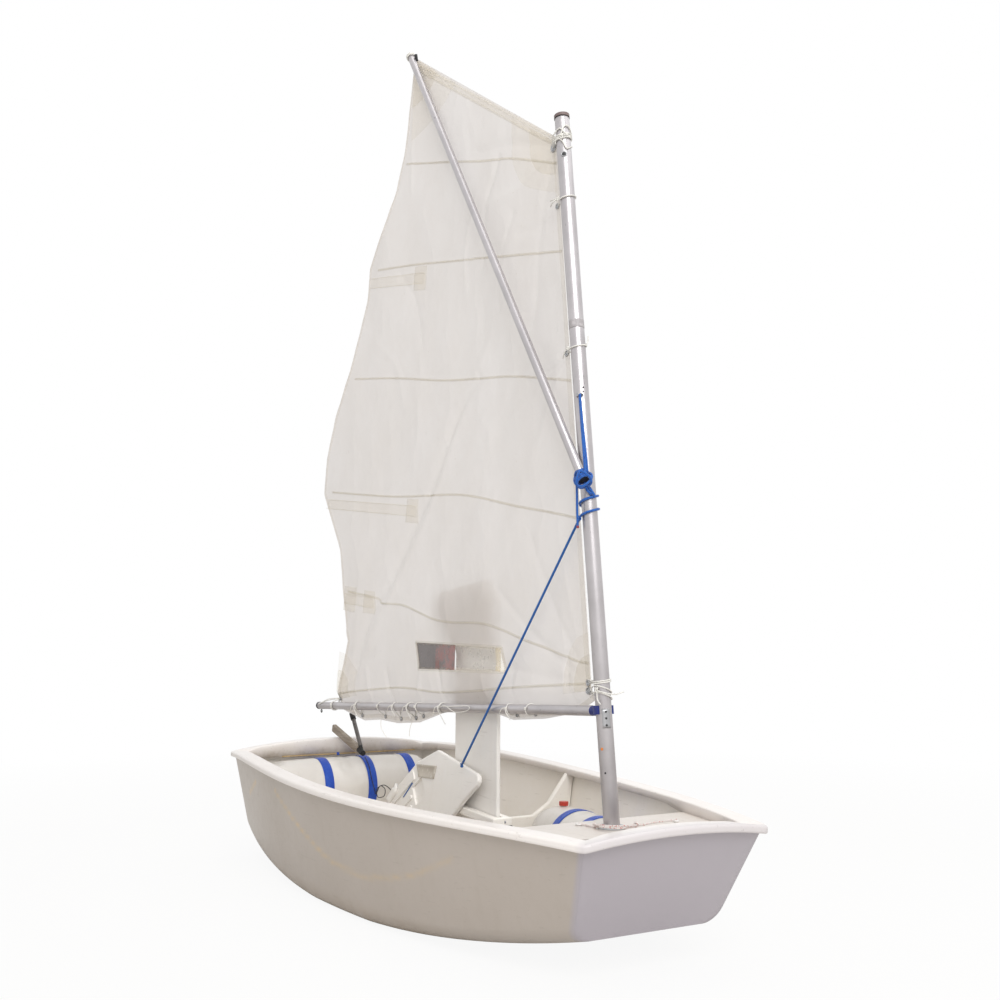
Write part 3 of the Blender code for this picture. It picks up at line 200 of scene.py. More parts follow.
def gridPiece(name, rows, material, body, ring=False, loop=False, caps=False, flip=False):
    # rows of points; ring joins each row's ends, loop joins the last row to the first
    rows = np.array(rows, float)
    rowCount, across = rows.shape[:2]
    along = np.concatenate([[0], np.cumsum(np.linalg.norm(np.diff(rows, axis=0), axis=2).mean(axis=1))])
    closedRows = np.concatenate([rows, rows[:, :1]], axis=1) if ring else rows
    wide = np.concatenate([[0], np.cumsum(np.linalg.norm(np.diff(closedRows, axis=1), axis=2).mean(axis=0))])
    faces, uvs = [], []
    for i in range(rowCount if loop else rowCount - 1):
        nextRow = (i + 1) % rowCount
        farAlong = along[i] + (along[1] if loop and nextRow == 0 else along[min(i + 1,
                rowCount - 1)] - along[i])
        for j in range(across if ring else across - 1):
            k = (j + 1) % across
            corners = [(i * across + j, along[i], wide[j]), (i * across + k, along[i], wide[j + 1]),
                       (nextRow * across + k, farAlong, wide[j + 1]),
                       (nextRow * across + j, farAlong, wide[j])]
            if flip:
                corners.reverse()
            faces.append([c[0] for c in corners])
            uvs += [(c[1], c[2]) for c in corners]
    if caps:
        ends = [list(range(across)), [(rowCount - 1) * across + j for j in reversed(range(across))]]
        for end in ends if not flip else [list(reversed(e)) for e in ends]:
            faces.append(list(reversed(end)))
            uvs += [(0.0, 0.0)] * across
    return makePiece(name, rows.reshape(-1, 3), faces, material, body, uvs)


def freeCord(name, path, radius, material, body):
    # a cord with a loose end: its own piece
    piece = tubePiece(name, path, radius, material, body, 8)
    return piece


def joinPieces(name, pieces):
    # keeps the first piece's body
    pieces = [piece for piece in pieces if piece is not None]
    bpy.ops.object.select_all(action="DESELECT")
    for piece in pieces:
        piece.select_set(True)
    bpy.context.view_layer.objects.active = pieces[0]
    bpy.ops.object.join()
    pieces[0].name = name
    return pieces[0]


def smoothPath(points, count, closed=False):
    # Catmull-Rom through the points, then even steps
    points = np.array(points, float)
    if len(points) == 2:
        return points[0] + (points[1] - points[0]) * np.linspace(0, 1, count)[:, None]
    if closed:
        ends = np.concatenate([points[-1:], points, points[:2]])
    else:
        ends = np.concatenate([2 * points[:1] - points[1:2], points, 2 * points[-1:] - points[-2:-1]])
    fine = []
    for i in range(1, len(ends) - 2):
        a, b, c, d = ends[i - 1:i + 3]
        for t in np.linspace(0, 1, 14, endpoint=False):
            fine.append(0.5 * (2 * b + (c - a) * t + (2 * a - 5 * b + 4 * c - d) * t * t
                               + (3 * b - a - 3 * c + d) * t ** 3))
    fine.append(ends[-2])
    fine = np.array(fine)
    length = np.concatenate([[0], np.cumsum(np.linalg.norm(np.diff(fine, axis=0), axis=1))])
    at = np.linspace(0, length[-1], count, endpoint=not closed)
    return np.stack([np.interp(at, length, fine[:, k]) for k in range(fine.shape[1])], axis=1)


def carriedFrames(path, closed=False):
    path = np.array(path, float)
    if closed:
        ways = np.roll(path, -1, axis=0) - np.roll(path, 1, axis=0)
    else:
        ways = np.gradient(path, axis=0)
    ways /= np.linalg.norm(ways, axis=1)[:, None]
    first = np.cross(ways[0], (0, 0, 1) if abs(ways[0][2]) < 0.9 else (1, 0, 0))
    sides = [first / np.linalg.norm(first)]
    for way in ways[1:]:
        side = sides[-1] - way * np.dot(sides[-1], way)
        sides.append(side / np.linalg.norm(side))
    sides = np.array(sides)
    return ways, sides, np.cross(ways, sides)


def tubePiece(name, path, radius, material, body, sides=8, closed=False):
    path = np.array(path, float)
    side, up = carriedFrames(path, closed)[1:]
    radii = np.broadcast_to(np.array(radius, float), len(path))
    angles = circle(sides)
    around = side[:, None] * np.cos(angles)[None, :, None] + up[:, None] * np.sin(angles)[None, :, None]
    rows = path[:, None] + around * radii[:, None, None]
    return gridPiece(name, rows, material, body, ring=True, loop=closed, caps=not closed, flip=True)


def ribbonPiece(name, path, outward, width, thick, material, body, closed=False):
    # a flat strap: outward is the way that its face looks at each point
    path, outward = np.array(path, float), np.array(outward, float)
    outward /= np.linalg.norm(outward, axis=1)[:, None]
    ways = carriedFrames(path, closed)[0]
    side = np.cross(ways, outward)
    side /= np.linalg.norm(side, axis=1)[:, None]
    half = width / 2
    profile = [(-half, 0), (-half, thick * 0.6), (-half * 0.93, thick), (-half * 0.5, thick),
               (0, thick), (half * 0.5, thick), (half * 0.93, thick), (half, thick * 0.6),
               (half, 0)]
    rows = np.stack([path + side * a + outward * b for a, b in profile], axis=1)
    return gridPiece(name, rows, material, body, ring=True, loop=closed, caps=not closed)


def turnedPiece(name, profile, matrix, material, body, sides=32):
    # profile of (radius, height), turned round the matrix's Z
    rows = []
    for radius, height in profile:
        rows.append([tuple(matrix @ Vector((radius * math.cos(a), radius * math.sin(a), height)))
                     for a in circle(sides)])
    return gridPiece(name, rows, material, body, ring=True, caps=True)


def axisMatrix(start, end):
    start, end = Vector(start), Vector(end)
    return Matrix.Translation(start) @ (end - start).to_track_quat("Z", "Y").to_matrix().to_4x4()


def roundedProfile(radius, length, edge=0.002, steps=4):
    # a rod with softened ends, as (radius, height)
    profile = [(radius - edge + edge * math.sin(a), edge - edge * math.cos(a))
               for a in np.linspace(0, math.pi / 2, steps)]
    return [(0.0001, 0)] + profile + [(r, length - h) for r, h in reversed(profile)] + [(0.0001, length)]


def dressNode(name, material, edge=0.0, segments=3):
    # gives a carried-over node its material, and rounds its sharp edges
    node = nodes[name]
    node.data.materials.clear()
    node.data.materials.append(material)
    if edge:
        weld = node.modifiers.new("weld", "WELD")
        weld.merge_threshold = 0.00002
        soft = node.modifiers.new("softEdges", "BEVEL")
        soft.width, soft.segments, soft.limit_method = edge, segments, "ANGLE"
        soft.angle_limit = math.radians(35)
        soft.harden_normals = True
    return node


def roughly(value, scale, seed=0.0):
    # smooth noise from -1 to 1 at a point
    return noise.noise(Vector(value) * scale + Vector((seed, seed * 1.7, seed * 0.3)))


# The photographer's camera, from the hull's own corners
cameraView = {"eye": (3.4202, -1.8509, 0.8457), "yaw": 151.8415, "pitch": 5.9338, "roll": -0.2167,
              "lens": 39.50, "shift": (0.0557, 0.0326)}


def placeCamera():
    yaw, pitch, roll = (math.radians(cameraView[k]) for k in ("yaw", "pitch", "roll"))
    forward = Vector((math.cos(yaw) * math.cos(pitch), math.sin(yaw) * math.cos(pitch), math.sin(pitch)))
    right = Vector((math.sin(yaw), -math.cos(yaw), 0))
    up = right.cross(forward)
    right, up = right * math.cos(roll) + up * math.sin(roll), up * math.cos(roll) - right * math.sin(roll)
    camera = placeObject("camera", bpy.data.cameras.new("camera"))
    turn = Matrix((right, up, -forward)).transposed().to_4x4()
    camera.matrix_world = Matrix.Translation(cameraView["eye"]) @ turn
    camera.data.lens, camera.data.sensor_width = cameraView["lens"], 36
    camera.data.shift_x, camera.data.shift_y = cameraView["shift"]
    bpy.context.scene.camera = camera


# Studio: white floor and surround, a weak lamp overhead, and a strong broad one off the starboard bow
studio = {"floorSize": 60.0, "floorGlow": 0.92, "worldLevel": 0.60, "keyPower": 70.0,
          "keyPlace": (0.6, 1.2, 5.6),
          "keySize": 4.5, "fillPower": 560.0, "fillPlace": (7.8, -2.8, 6.6), "fillSize": 5.5}


def buildStudio():
    world = bpy.data.worlds.new("surround")
    bpy.context.scene.world = world
    world.use_nodes = True
    tree = world.node_tree
    light = tree.nodes["Background"]
    light.inputs["Color"].default_value = shade(255, 253, 250)
    light.inputs["Strength"].default_value = studio["worldLevel"]
    plain = addNode(tree, "Background", {"Color": (1, 1, 1, 1), "Strength": 1.0})
    rays = addNode(tree, "LightPath")
    seen = sums(tree, "MAXIMUM", rays.outputs["Is Camera Ray"], rays.outputs["Is Glossy Ray"])
    seen = sums(tree, "MAXIMUM", seen, rays.outputs["Is Transmission Ray"])
    mix = addNode(tree, "MixShader", {"Fac": seen})
    tree.links.new(light.outputs[0], mix.inputs[1])
    tree.links.new(plain.outputs[0], mix.inputs[2])
    tree.links.new(mix.outputs[0], tree.nodes["World Output"].inputs["Surface"])

    floorMaterial, tree, shader, place = startMaterial("paleFloor", (226, 224, 221), 0.9)
    glow = addNode(tree, "Emission", {"Color": (1, 1, 1, 1), "Strength": 1.0})
    rays = addNode(tree, "LightPath")
    # pure white away from the boat, so that no horizon shows
    away = addNode(tree, "VectorMath", {0: place.outputs["Object"]}, operation="LENGTH").outputs["Value"]
    share = spread(tree, away, 2.2, 5.5, studio["floorGlow"], 1.0)
    seen = sums(tree, "MULTIPLY", rays.outputs["Is Camera Ray"], share)
    mix = addNode(tree, "MixShader", {"Fac": seen})
    tree.links.new(shader.outputs[0], mix.inputs[1])
    tree.links.new(glow.outputs[0], mix.inputs[2])
    tree.links.new(mix.outputs[0], tree.nodes["Material Output"].inputs["Surface"])
    half = studio["floorSize"] / 2
    mesh = bpy.data.meshes.new("floor")
    mesh.from_pydata([(-half, -half, 0), (half, -half, 0), (half, half, 0), (-half, half, 0)], [],
                     [(0, 1, 2, 3)])
    floor = placeObject("floor", mesh)
    floor.location.z = -0.0008
    mesh.materials.append(floorMaterial)

    for name in ("key", "fill"):
        lamp = bpy.data.lights.new(name, "AREA")
        lamp.energy, lamp.size = studio[name + "Power"], studio[name + "Size"]
        lampObject = placeObject(name, lamp)
        lampObject.location = studio[name + "Place"]
        aim = Vector((0, 0, 0.9)) - lampObject.location
        lampObject.rotation_euler = aim.to_track_quat("-Z", "Y").to_euler()


bpy.context.scene.view_settings.view_transform = "Standard"
placeCamera()
buildStudio()
print("camera, floor and lamps in place")


# Finishes of the mouldings: gelcoat with stains, scuffs and chalky patches
def gelcoatMaterial(name, colour, dirt, roughness, marks=True, dirtLevel=0.35, polish=0.0):
    material, tree, shader, place = startMaterial(name, colour, roughness, Specular_IOR_Level=0.5,
            Coat_Weight=polish, Coat_Roughness=0.12)
    broad = spread(tree, grain(tree, place, 3.2, 6, 0.62), 0.38, 0.72)
    fine = spread(tree, grain(tree, place, 46, 5, 0.6), 0.5, 0.8)
    runs = spread(tree, grain(tree, place, 30, 3, 0.5, stretch=(1, 1, 0.07)), 0.56, 0.74)
    amount = sums(tree, "MULTIPLY", sums(tree, "ADD", broad, sums(tree, "MULTIPLY", fine, 0.5)), dirtLevel)
    amount = sums(tree, "ADD", amount, sums(tree, "MULTIPLY", runs, dirtLevel * 0.55))
    paint = blendColours(tree, spread(tree, amount, 0, 1), shade(*colour), shade(*dirt))
    # dark flecks and hairline scratches
    flecks = spread(tree, grain(tree, place, 210, 2, 0.4), 0.75, 0.79)
    paint = stained(tree, paint, flecks, 0.4, (132, 124, 114))
    scratch = grain(tree, place, 60, 3, 0.5, stretch=(0.12, 1.6, 2.2))
    lines = spread(tree, scratch, 0.66, 0.69)
    paint = stained(tree, paint, lines, 0.16, (150, 142, 130))
    if marks:
        stain = paintMark(tree, "stain")
        broken = spread(tree, grain(tree, place, 24, 5, 0.65), 0.36, 0.64, 0.35, 1.0)
        paint = stained(tree, paint, stain, broken, (214, 186, 136))
        # painted shade: a cool lilac grey over the bow transom and the rail's outer face at the bow
        paint = stained(tree, paint, paintMark(tree, "paintedShade"), 0.9, (177, 172, 181))
        wear = paintMark(tree, "wear")
        chips = spread(tree, grain(tree, place, 95, 4, 0.7), 0.67, 0.73)
        paint = stained(tree, paint, wear, chips, (120, 108, 98))
        # grime and painted shade: darker low in the hull and under the rail's inner lip
        grimeAndShade = paintMark(tree, "grimeAndShade")
        smear = spread(tree, grain(tree, place, 18, 5, 0.6), 0.3, 0.7, 0.25, 0.9)
        paint = stained(tree, paint, grimeAndShade, smear, (148, 126, 96))
    tree.links.new(paint, shader.inputs["Base Color"])
    tree.links.new(spread(tree, sums(tree, "ADD", broad, fine), 0, 2, roughness - 0.06, roughness + 0.14),
                   shader.inputs["Roughness"])
    under = bumped(tree, shader, grain(tree, place, 5.5, 3, 0.5), 0.0035, 0.5)
    bumped(tree, shader, grain(tree, place, 260, 3, 0.6), 0.00005, 0.5, under)
    return material


# painted shade: the hull's outside takes a darker copy of the gelcoat than its inside
shadedHullGelcoat = gelcoatMaterial("shadedHullGelcoat", (189, 180, 172), (176, 166, 155), 0.34, dirtLevel=0.30,
                              polish=0.15)
railGelcoat = gelcoatMaterial("railGelcoat", (243, 238, 235), (229, 221, 213), 0.34, dirtLevel=0.20,
                              polish=0.08)
# painted light: the inside's copy of the gelcoat, lighter than the outside's
litInnerGelcoat = gelcoatMaterial("litInnerGelcoat", (252, 248, 242), (238, 230, 215), 0.42, dirtLevel=0.26)
boardGelcoat = gelcoatMaterial("boardGelcoat", (247, 244, 240), (232, 226, 216), 0.36, dirtLevel=0.24)
# painted shade: the thwart's gelcoat is a darker copy, for a top that the lamps light strongly
shadedThwartGelcoat = gelcoatMaterial("shadedThwartGelcoat", (222, 215, 209), (206, 197, 184), 0.42, dirtLevel=0.28)

# The hull's own sizes, as the CAD has them
hull = {"length": 2.30, "beam": 1.0844, "depth": 0.40, "rocker": 0.105, "bowRake": 0.149, "sternRake": 0.0285,
        "frameAft": 1.22, "shell": 0.006, "bilgeRadius": 0.055, "bowCrown": 0.022, "sternCrown": 0.038,
        "flatShare": 0.018, "slotFore": 0.884, "slotLength": 0.316, "slotWidth": 0.0216,
        "sideSteps": 184, "transomSteps": 40, "sidePoints": 26}
# the visible rail is slimmer than the CAD's
rail = {"out": 0.020, "drop": 0.022, "width": 0.044, "thick": 0.005, "lip": 0.024, "cornerRound": 0.020}
space = 0.0003
stations = (0.0, 0.25, 0.5, 0.75, 1.0)
fairness = {"half": (0.5525, 0.8505, 1.0, 0.9854, 0.8427), "sheer": (0.9338, 0.9653, 0.9935, 1.0508, 1.0482),
            "chineHalf": (0.4245, 0.7057, 0.8392, 0.8335, 0.6944),
            "chineUp": (1.0, 0.202, -0.007, 0.235, 0.904)}
curves = {key: np.polyfit(stations, values, 4) for key, values in fairness.items()}


def aft(distance):
    return hull["frameAft"] - distance


def sheerAt(share):
    return (share * hull["length"], float(np.polyval(curves["half"], share)) * hull["beam"] / 2,
            float(np.polyval(curves["sheer"], share)) * hull["depth"])


def chineAt(share):
    rise = float(np.polyval(curves["chineUp"], share))
    return (hull["bowRake"] + share * (hull["length"] - hull["bowRake"] - hull["sternRake"]),
            float(np.polyval(curves["chineHalf"], share)) * hull["beam"] / 2,
            hull["rocker"] * max(0.0, rise - hull["flatShare"]) / (1 - hull["flatShare"]))


def transomLean(share):
    foot, top = chineAt(share), sheerAt(share)
    outward = rail["out"] if share == 0 else -rail["out"]
    return (aft(top[0]) - outward - aft(foot[0])) / (top[2] - rail["thick"] - space - foot[2])


def acrossTransom(corner, crown, lean):
    points = []
    for share in np.linspace(0, 1, hull["transomSteps"] + 1)[1:-1]:
        rise = crown * (1 - (1 - 2 * share) ** 2)
        points.append(Vector((corner.x + lean * rise, corner.y * (1 - 2 * share), corner.z + rise)))
    return points


def railLine():
    side = [Vector((aft(d), b, h)) for d, b, h in map(sheerAt, np.linspace(0, 1, hull["sideSteps"] + 1))]
    starboard = [Vector((p.x, -p.y, p.z)) for p in side]
    stern = acrossTransom(starboard[-1], hull["sternCrown"], transomLean(1.0))
    bow = acrossTransom(side[0], hull["bowCrown"], transomLean(0.0))
    return starboard + stern + side[::-1] + bow


def offsetLine(line, out):
    moved = []
    for i, point in enumerate(line):
        back = (point - line[i - 1]).to_2d().normalized()
        ahead = (line[(i + 1) % len(line)] - point).to_2d().normalized()
        first, second = Vector((-back.y, back.x)), Vector((-ahead.y, ahead.x))
        mitre = (first + second) / (1 + first.dot(second))
        moved.append(point + Vector((mitre.x, mitre.y, 0)) * out)
    return moved


def shiftedLine(line, marks, out, reach=0.10):
    # an offset line whose points don't pass each other at the corners
    done, count = offsetLine(line, out), len(line)
    for mark in marks:
        corner = line[mark].to_2d()
        for way in (-1, 1):
            leg = (line[(mark + way * 3) % count].to_2d() - corner).normalized()
            slip = (corner - done[mark].to_2d()).dot(leg)
            for step in range(1, 80):
                index = (mark + way * step) % count
                away = (line[index].to_2d() - corner).length
                if away > reach:
                    break
                move = leg * slip * (away / reach - 1)
                done[index] += Vector((move.x, move.y, 0))
    return done


def cornerArc(before, corner, after, radius, steps):
    before, corner, after = Vector(before), Vector(corner), Vector(after)
    inWay, outWay = (corner - before).normalized(), (after - corner).normalized()
    turn = math.acos(max(-1.0, min(1.0, inWay.dot(outWay))))
    reach = radius * math.tan(turn / 2)
    start, end = corner - inWay * reach, corner + outWay * reach
    normal = (end - corner) + (start - corner)
    centre = corner + normal.normalized() * (radius / math.cos(turn / 2))
    points = []
    for k in range(steps + 1):
        a = turn * (k / steps)
        points.append(centre + ((start - centre) * math.cos(a) + inWay * radius * math.sin(a)))
    return points


railPath = railLine()
railCorners = (0, hull["sideSteps"], hull["sideSteps"] + hull["transomSteps"],
               2 * hull["sideSteps"] + hull["transomSteps"])


def paintAttribute(piece, name, values):
    mark = piece.data.attributes.get(name) or piece.data.attributes.new(name, "FLOAT", "POINT")
    mark.data.foreach_set("value", np.array(values, np.float32))


def buildHull():
    edge = shiftedLine(railPath, railCorners, -rail["out"])
    steps, acrossSteps = hull["sideSteps"], hull["transomSteps"]
    lowered = []
    for i, point in enumerate(edge):
        slopes = []
        if i <= steps or steps + acrossSteps <= i <= 2 * steps + acrossSteps:
            share = min(1.0, max(0.0, (hull["frameAft"] - railPath[i].x) / hull["length"]))
            d, b, h = chineAt(share)
            slopes.append((abs(point.y) - b) / (point.z - h))
        if abs(point.x - aft(0)) < 2 * rail["out"] or abs(point.x - aft(hull["length"])) < 2.5 * rail["out"]:
            slopes.append(abs(transomLean(0.0 if point.x > 0 else 1.0)))
        drop = rail["thick"] + 3 * space + hull["shell"] * max(slopes) * 1.15
        lowered.append(point - Vector((0, 0, drop)))
    starboard = lowered[:steps + 1]
    sternTop = lowered[steps + 1:steps + acrossSteps]
    bowTop = lowered[2 * steps + acrossSteps + 1:]
    shape = bmesh.new()
    rows = []
    for share, top in zip(np.linspace(0, 1, steps + 1), starboard):
        d, breadth, height = chineAt(float(share))
        topPoint = (abs(top.y), top.z)
        bend = cornerArc((0, height), (breadth, height), topPoint, hull["bilgeRadius"], 10)
        flat = [Vector((bend[0].x * k / 9, height)) for k in range(9)]
        side = [bend[-1].lerp(Vector(topPoint), k / hull["sidePoints"])
                for k in range(1, hull["sidePoints"] + 1)]
        half = []
        for p in flat + bend + side:
            rise = (p.y - height) / (top.z - height)
            half.append(Vector((aft(d) + (top.x - aft(d)) * rise, p.x, p.y)))
        ring = [Vector((p.x, -p.y, p.z)) for p in reversed(half[1:])] + half
        rows.append([shape.verts.new(p) for p in ring])
    for first, second in zip(rows, rows[1:]):
        for i in range(len(first) - 1):
            shape.faces.new((first[i], first[i + 1], second[i + 1], second[i]))
    for row, crown in ((rows[0], bowTop), (rows[-1], sternTop)):
        top = [shape.verts.new(p) for p in crown]
        if top[0].co.y < 0:
            top.reverse()
        # a grid of quads from side to side, then one face up to the crown
        middle = len(row) // 2
        level = row[middle - 9:middle + 10]
        for k in range(10, middle + 1):
            left, right = row[middle - k], row[middle + k]
            inner = [shape.verts.new(left.co.lerp(right.co, j / 18)) for j in range(1, 18)]
            higher = [left] + inner + [right]
            for j in range(18):
                shape.faces.new((level[j], level[j + 1], higher[j + 1], higher[j]))
            level = higher
        shape.faces.new(level + top)
    bmesh.ops.recalc_face_normals(shape, faces=shape.faces)
    if sum(f.normal.z * f.calc_area() for f in shape.faces) > 0:
        bmesh.ops.reverse_faces(shape, faces=shape.faces)
    big = [f for f in shape.faces if len(f.verts) > 8]
    bmesh.ops.triangulate(shape, faces=big)
    mesh = bpy.data.meshes.new("hullSkin")
    shape.to_mesh(mesh)
    shape.free()
    mesh.polygons.foreach_set("use_smooth", [True] * len(mesh.polygons))
    skin = placeObject("hullSkin", mesh)
    # the darker copy on the outer faces, the lighter copy on the inner faces
    mesh.materials.append(shadedHullGelcoat)
    mesh.materials.append(litInnerGelcoat)
    laminate = skin.modifiers.new("laminate", "SOLIDIFY")
    laminate.thickness, laminate.offset = hull["shell"] - 0.0004, -1.0
    laminate.use_quality_normals = True
    laminate.material_offset = 1
    cutter = bpy.data.objects.new("slotCutter", bpy.data.meshes.new("slotCutter"))
    cut = bmesh.new()
    bmesh.ops.create_cube(cut, size=1.0)
    for v in cut.verts:
        v.co = Vector((aft(hull["slotFore"] + hull["slotLength"] / 2) + v.co.x * hull["slotLength"],
                       v.co.y * hull["slotWidth"], v.co.z * 0.1))
    cut.to_mesh(cutter.data)
    cut.free()
    bpy.context.scene.collection.objects.link(cutter)
    opening = skin.modifiers.new("slot", "BOOLEAN")
    opening.object, opening.operation, opening.solver = cutter, "DIFFERENCE", "EXACT"
    final = bpy.data.meshes.new_from_object(skin.evaluated_get(bpy.context.evaluated_depsgraph_get()))
    skin.modifiers.clear()
    skin.data = final
    bpy.data.objects.remove(cutter)
    final.polygons.foreach_set("use_smooth", [True] * len(final.polygons))
    even = skin.modifiers.new("evenNormals", "WEIGHTED_NORMAL")
    even.weight = 80
    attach(skin, "hull")
    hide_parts("hull_shell")
    return skin


# the camera's middle and focal length, in the photograph's pixels
sight = {"middle": (444.32, 532.56), "focal": 1097.25}


def throughPixel(px, py):
    # the line of sight of one place in the photograph
    matrix = bpy.context.scene.camera.matrix_world
    middle, focal = sight["middle"], sight["focal"]
    ray = Vector(((px - middle[0]) / focal, -(py - middle[1]) / focal, -1))
    return matrix.translation.copy(), (matrix.to_3x3() @ ray).normalized()


def seenPoint(tree, px, py):
    eye, way = throughPixel(px, py)
    return tree.ray_cast(eye, way)[0]


def treeOf(*pieces):
    points, faces = [], []
    for piece in pieces:
        base = len(points)
        points += [piece.matrix_world @ v.co for v in piece.data.vertices]
        faces += [[base + i for i in p.vertices] for p in piece.data.polygons]
    return BVHTree.FromPolygons(points, faces)


def nearLine(points, line, width):
    # 1 on the line, fading over the width
    return np.exp(-(lineDistance(np.array(points, float), line) / width) ** 2)


# Water marks on the starboard side; wear, grime and painted shade low on the hull; painted shade on the bow
# transom
stains = {"arc": ((275, 791), (294, 820), (306, 835), (319, 850), (334, 863), (348, 870), (363, 877),
                  (391, 878),
                  (415, 875), (452, 859)),
          "drip": ((256, 781), (250, 793), (244, 804)), "width": 0.007, "level": 0.95}


def markHull(skin):
    points = np.array([v.co for v in skin.data.vertices])
    view = treeOf(skin)
    total = np.zeros(len(points))
    for name in ("arc", "drip"):
        line = [seenPoint(view, *p) for p in stains[name]]
        line = [p for p in line if p is not None and p.y < 0]
        fadeLine = nearLine(points, line, stains["width"]) * stains["level"] * np.interp(points[:, 0],
                (-0.3, 0.3), (1.0, 0.4))
        total = np.maximum(total, fadeLine)
    outside = points[:, 1] < 0
    paintAttribute(skin, "stain", total * outside)
    # painted shade on the bow transom, which faces forward and down
    foot, lean = aft(chineAt(0.0)[0]), transomLean(0.0)
    bow = points[:, 0] - (foot + lean * (points[:, 2] - chineAt(0.0)[2]))
    paintAttribute(skin, "paintedShade", np.clip((bow + 0.014) / 0.006, 0, 1))
    paintAttribute(skin, "wear", np.clip((0.03 - points[:, 2]) / 0.03, 0, 1) * 0.8)
    # grime and painted shade, darker towards the bottom
    low = np.clip(1 - (points[:, 2] - 0.02) / 0.05, 0, 1) * 0.5
    paintAttribute(skin, "grimeAndShade", low)


def lipDepth(point):
    # deeper where it runs down to the thwart, and across the stern
    if point.x < -0.90:
        share = min(1.0, (-0.90 - point.x) / 0.08)
        return rail["lip"] + (point.z - 0.388 - rail["lip"]) * share
    return rail["lip"] + 0.012 * min(1.0, max(0.0, (point.x - 0.70) / 0.08))


def denserCorners(line, corners, reach=0.07, parts=6):
    fine, marks = [], []
    for i, point in enumerate(line):
        if i in corners:
            marks.append(len(fine))
        fine.append(point)
        following = line[(i + 1) % len(line)]
        if min((point.lerp(following, 0.5) - line[c]).length for c in corners) < reach:
            fine += [point.lerp(following, k / parts) for k in range(1, parts)]
    return fine, marks


def roundedCorners(line, marks, radius):
    # the plan's corners swept to an arc; the heights stay
    done = [p.copy() for p in line]
    count = len(line)
    for mark in marks:
        corner = line[mark].to_2d()
        legs = [(line[(mark + way * 9) % count].to_2d() - corner).normalized() for way in (-1, 1)]
        between = math.acos(max(-1.0, min(1.0, legs[0].dot(legs[1]))))
        reach = radius / math.tan(between / 2)
        centre = corner + (legs[0] + legs[1]).normalized() * radius / math.sin(between / 2)
        middle = (corner - centre).normalized() * radius
        for leg, way in zip(legs, (-1, 1)):
            start = corner + leg * reach - centre
            for step in range(0, 30):
                index = (mark + way * step) % count
                share = 1 - (line[index].to_2d() - corner).length / reach
                if share <= 0:
                    break
                swept = start.slerp(middle, share, start).normalized() * radius + centre
                done[index] = Vector((swept.x, swept.y, line[index].z))
    return done


def railProfile():
    thick, width = rail["thick"], rail["width"]
    inside = [(-width + thick, -thick), (-width + thick, -rail["lip"]), (-width, -rail["lip"])]
    top = cornerArc((-width, -rail["lip"]), (-width, 0), (0, 0), thick, 6)
    outer = cornerArc((0, 0), (rail["out"], 0), (rail["out"], -rail["drop"]), rail["drop"] * 0.4, 8)
    lower = cornerArc((rail["out"], 0), (rail["out"], -rail["drop"]), (space, -rail["drop"]),
                      rail["drop"] * 0.28, 6)
    under = [(space, -rail["drop"]), (space, -thick)]
    return inside + [tuple(p) for p in top + outer + lower] + under


def buildRail():
    profile = railProfile()
    fine, marks = denserCorners(railPath, railCorners)
    lines = [roundedCorners(shiftedLine(fine, marks, out * 0.97 - rail["out"]), marks,
                            rail["cornerRound"] + max(0, out)) for out, up in profile]
    rows = []
    for i, point in enumerate(fine):
        ups = [-lipDepth(point) if up == -rail["lip"] else up for out, up in profile]
        rows.append([tuple(line[i] + Vector((0, 0, up))) for line, up in zip(lines, ups)])
    moulding = gridPiece("railMoulding", rows, railGelcoat, "hull", ring=True, loop=True)
    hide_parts("gunwale")
    outs = np.array([p[0] for p in profile])
    wear = np.where(outs > rail["out"] * 0.55, 0.9, np.where(outs < -rail["width"] + 0.004, 0.35, 0.0))
    paintAttribute(moulding, "wear", np.tile(wear, len(fine)))
    ups = np.array([p[1] for p in profile])
    # grime and painted shade under the rail's inner lip, strongest across the stern
    grimeAndShade = np.where((ups < -rail["lip"] * 0.8) & (outs < 0), 0.75, 0.0)
    grimeAndShadeAll = np.tile(grimeAndShade, len(fine))
    points = np.array([v.co for v in moulding.data.vertices])
    grimeAndShadeAll *= np.where(points[:, 0] < -0.9, 1.0, 0.35)
    paintAttribute(moulding, "grimeAndShade", grimeAndShadeAll)
    paintAttribute(moulding, "stain", np.zeros(len(points)))
    # painted shade on the rail's outer face at the bow
    paintAttribute(moulding, "paintedShade", np.clip((points[:, 0] - 1.19) / 0.02, 0, 1) * np.tile(outs > 0.008,
            len(fine)) * 0.5)
    return moulding


hullSkin = buildHull()
markHull(hullSkin)
railMoulding = buildRail()
print("hull skin and rail lofted:", len(hullSkin.data.polygons), "faces")


# Mouldings inside the hull keep their CAD shape, with softened edges
def buildInside():
    dressNode("mast_thwart", shadedThwartGelcoat, 0.004, 4)
    dressNode("mast_step", litInnerGelcoat, 0.003)
    dressNode("midship_frame", litInnerGelcoat, 0.003)
    dressNode("daggerboard_case", litInnerGelcoat, 0.003)
    dressNode("daggerboard", boardGelcoat, 0.0015)
    dressNode("rudder", boardGelcoat, 0.0015)


buildInside()


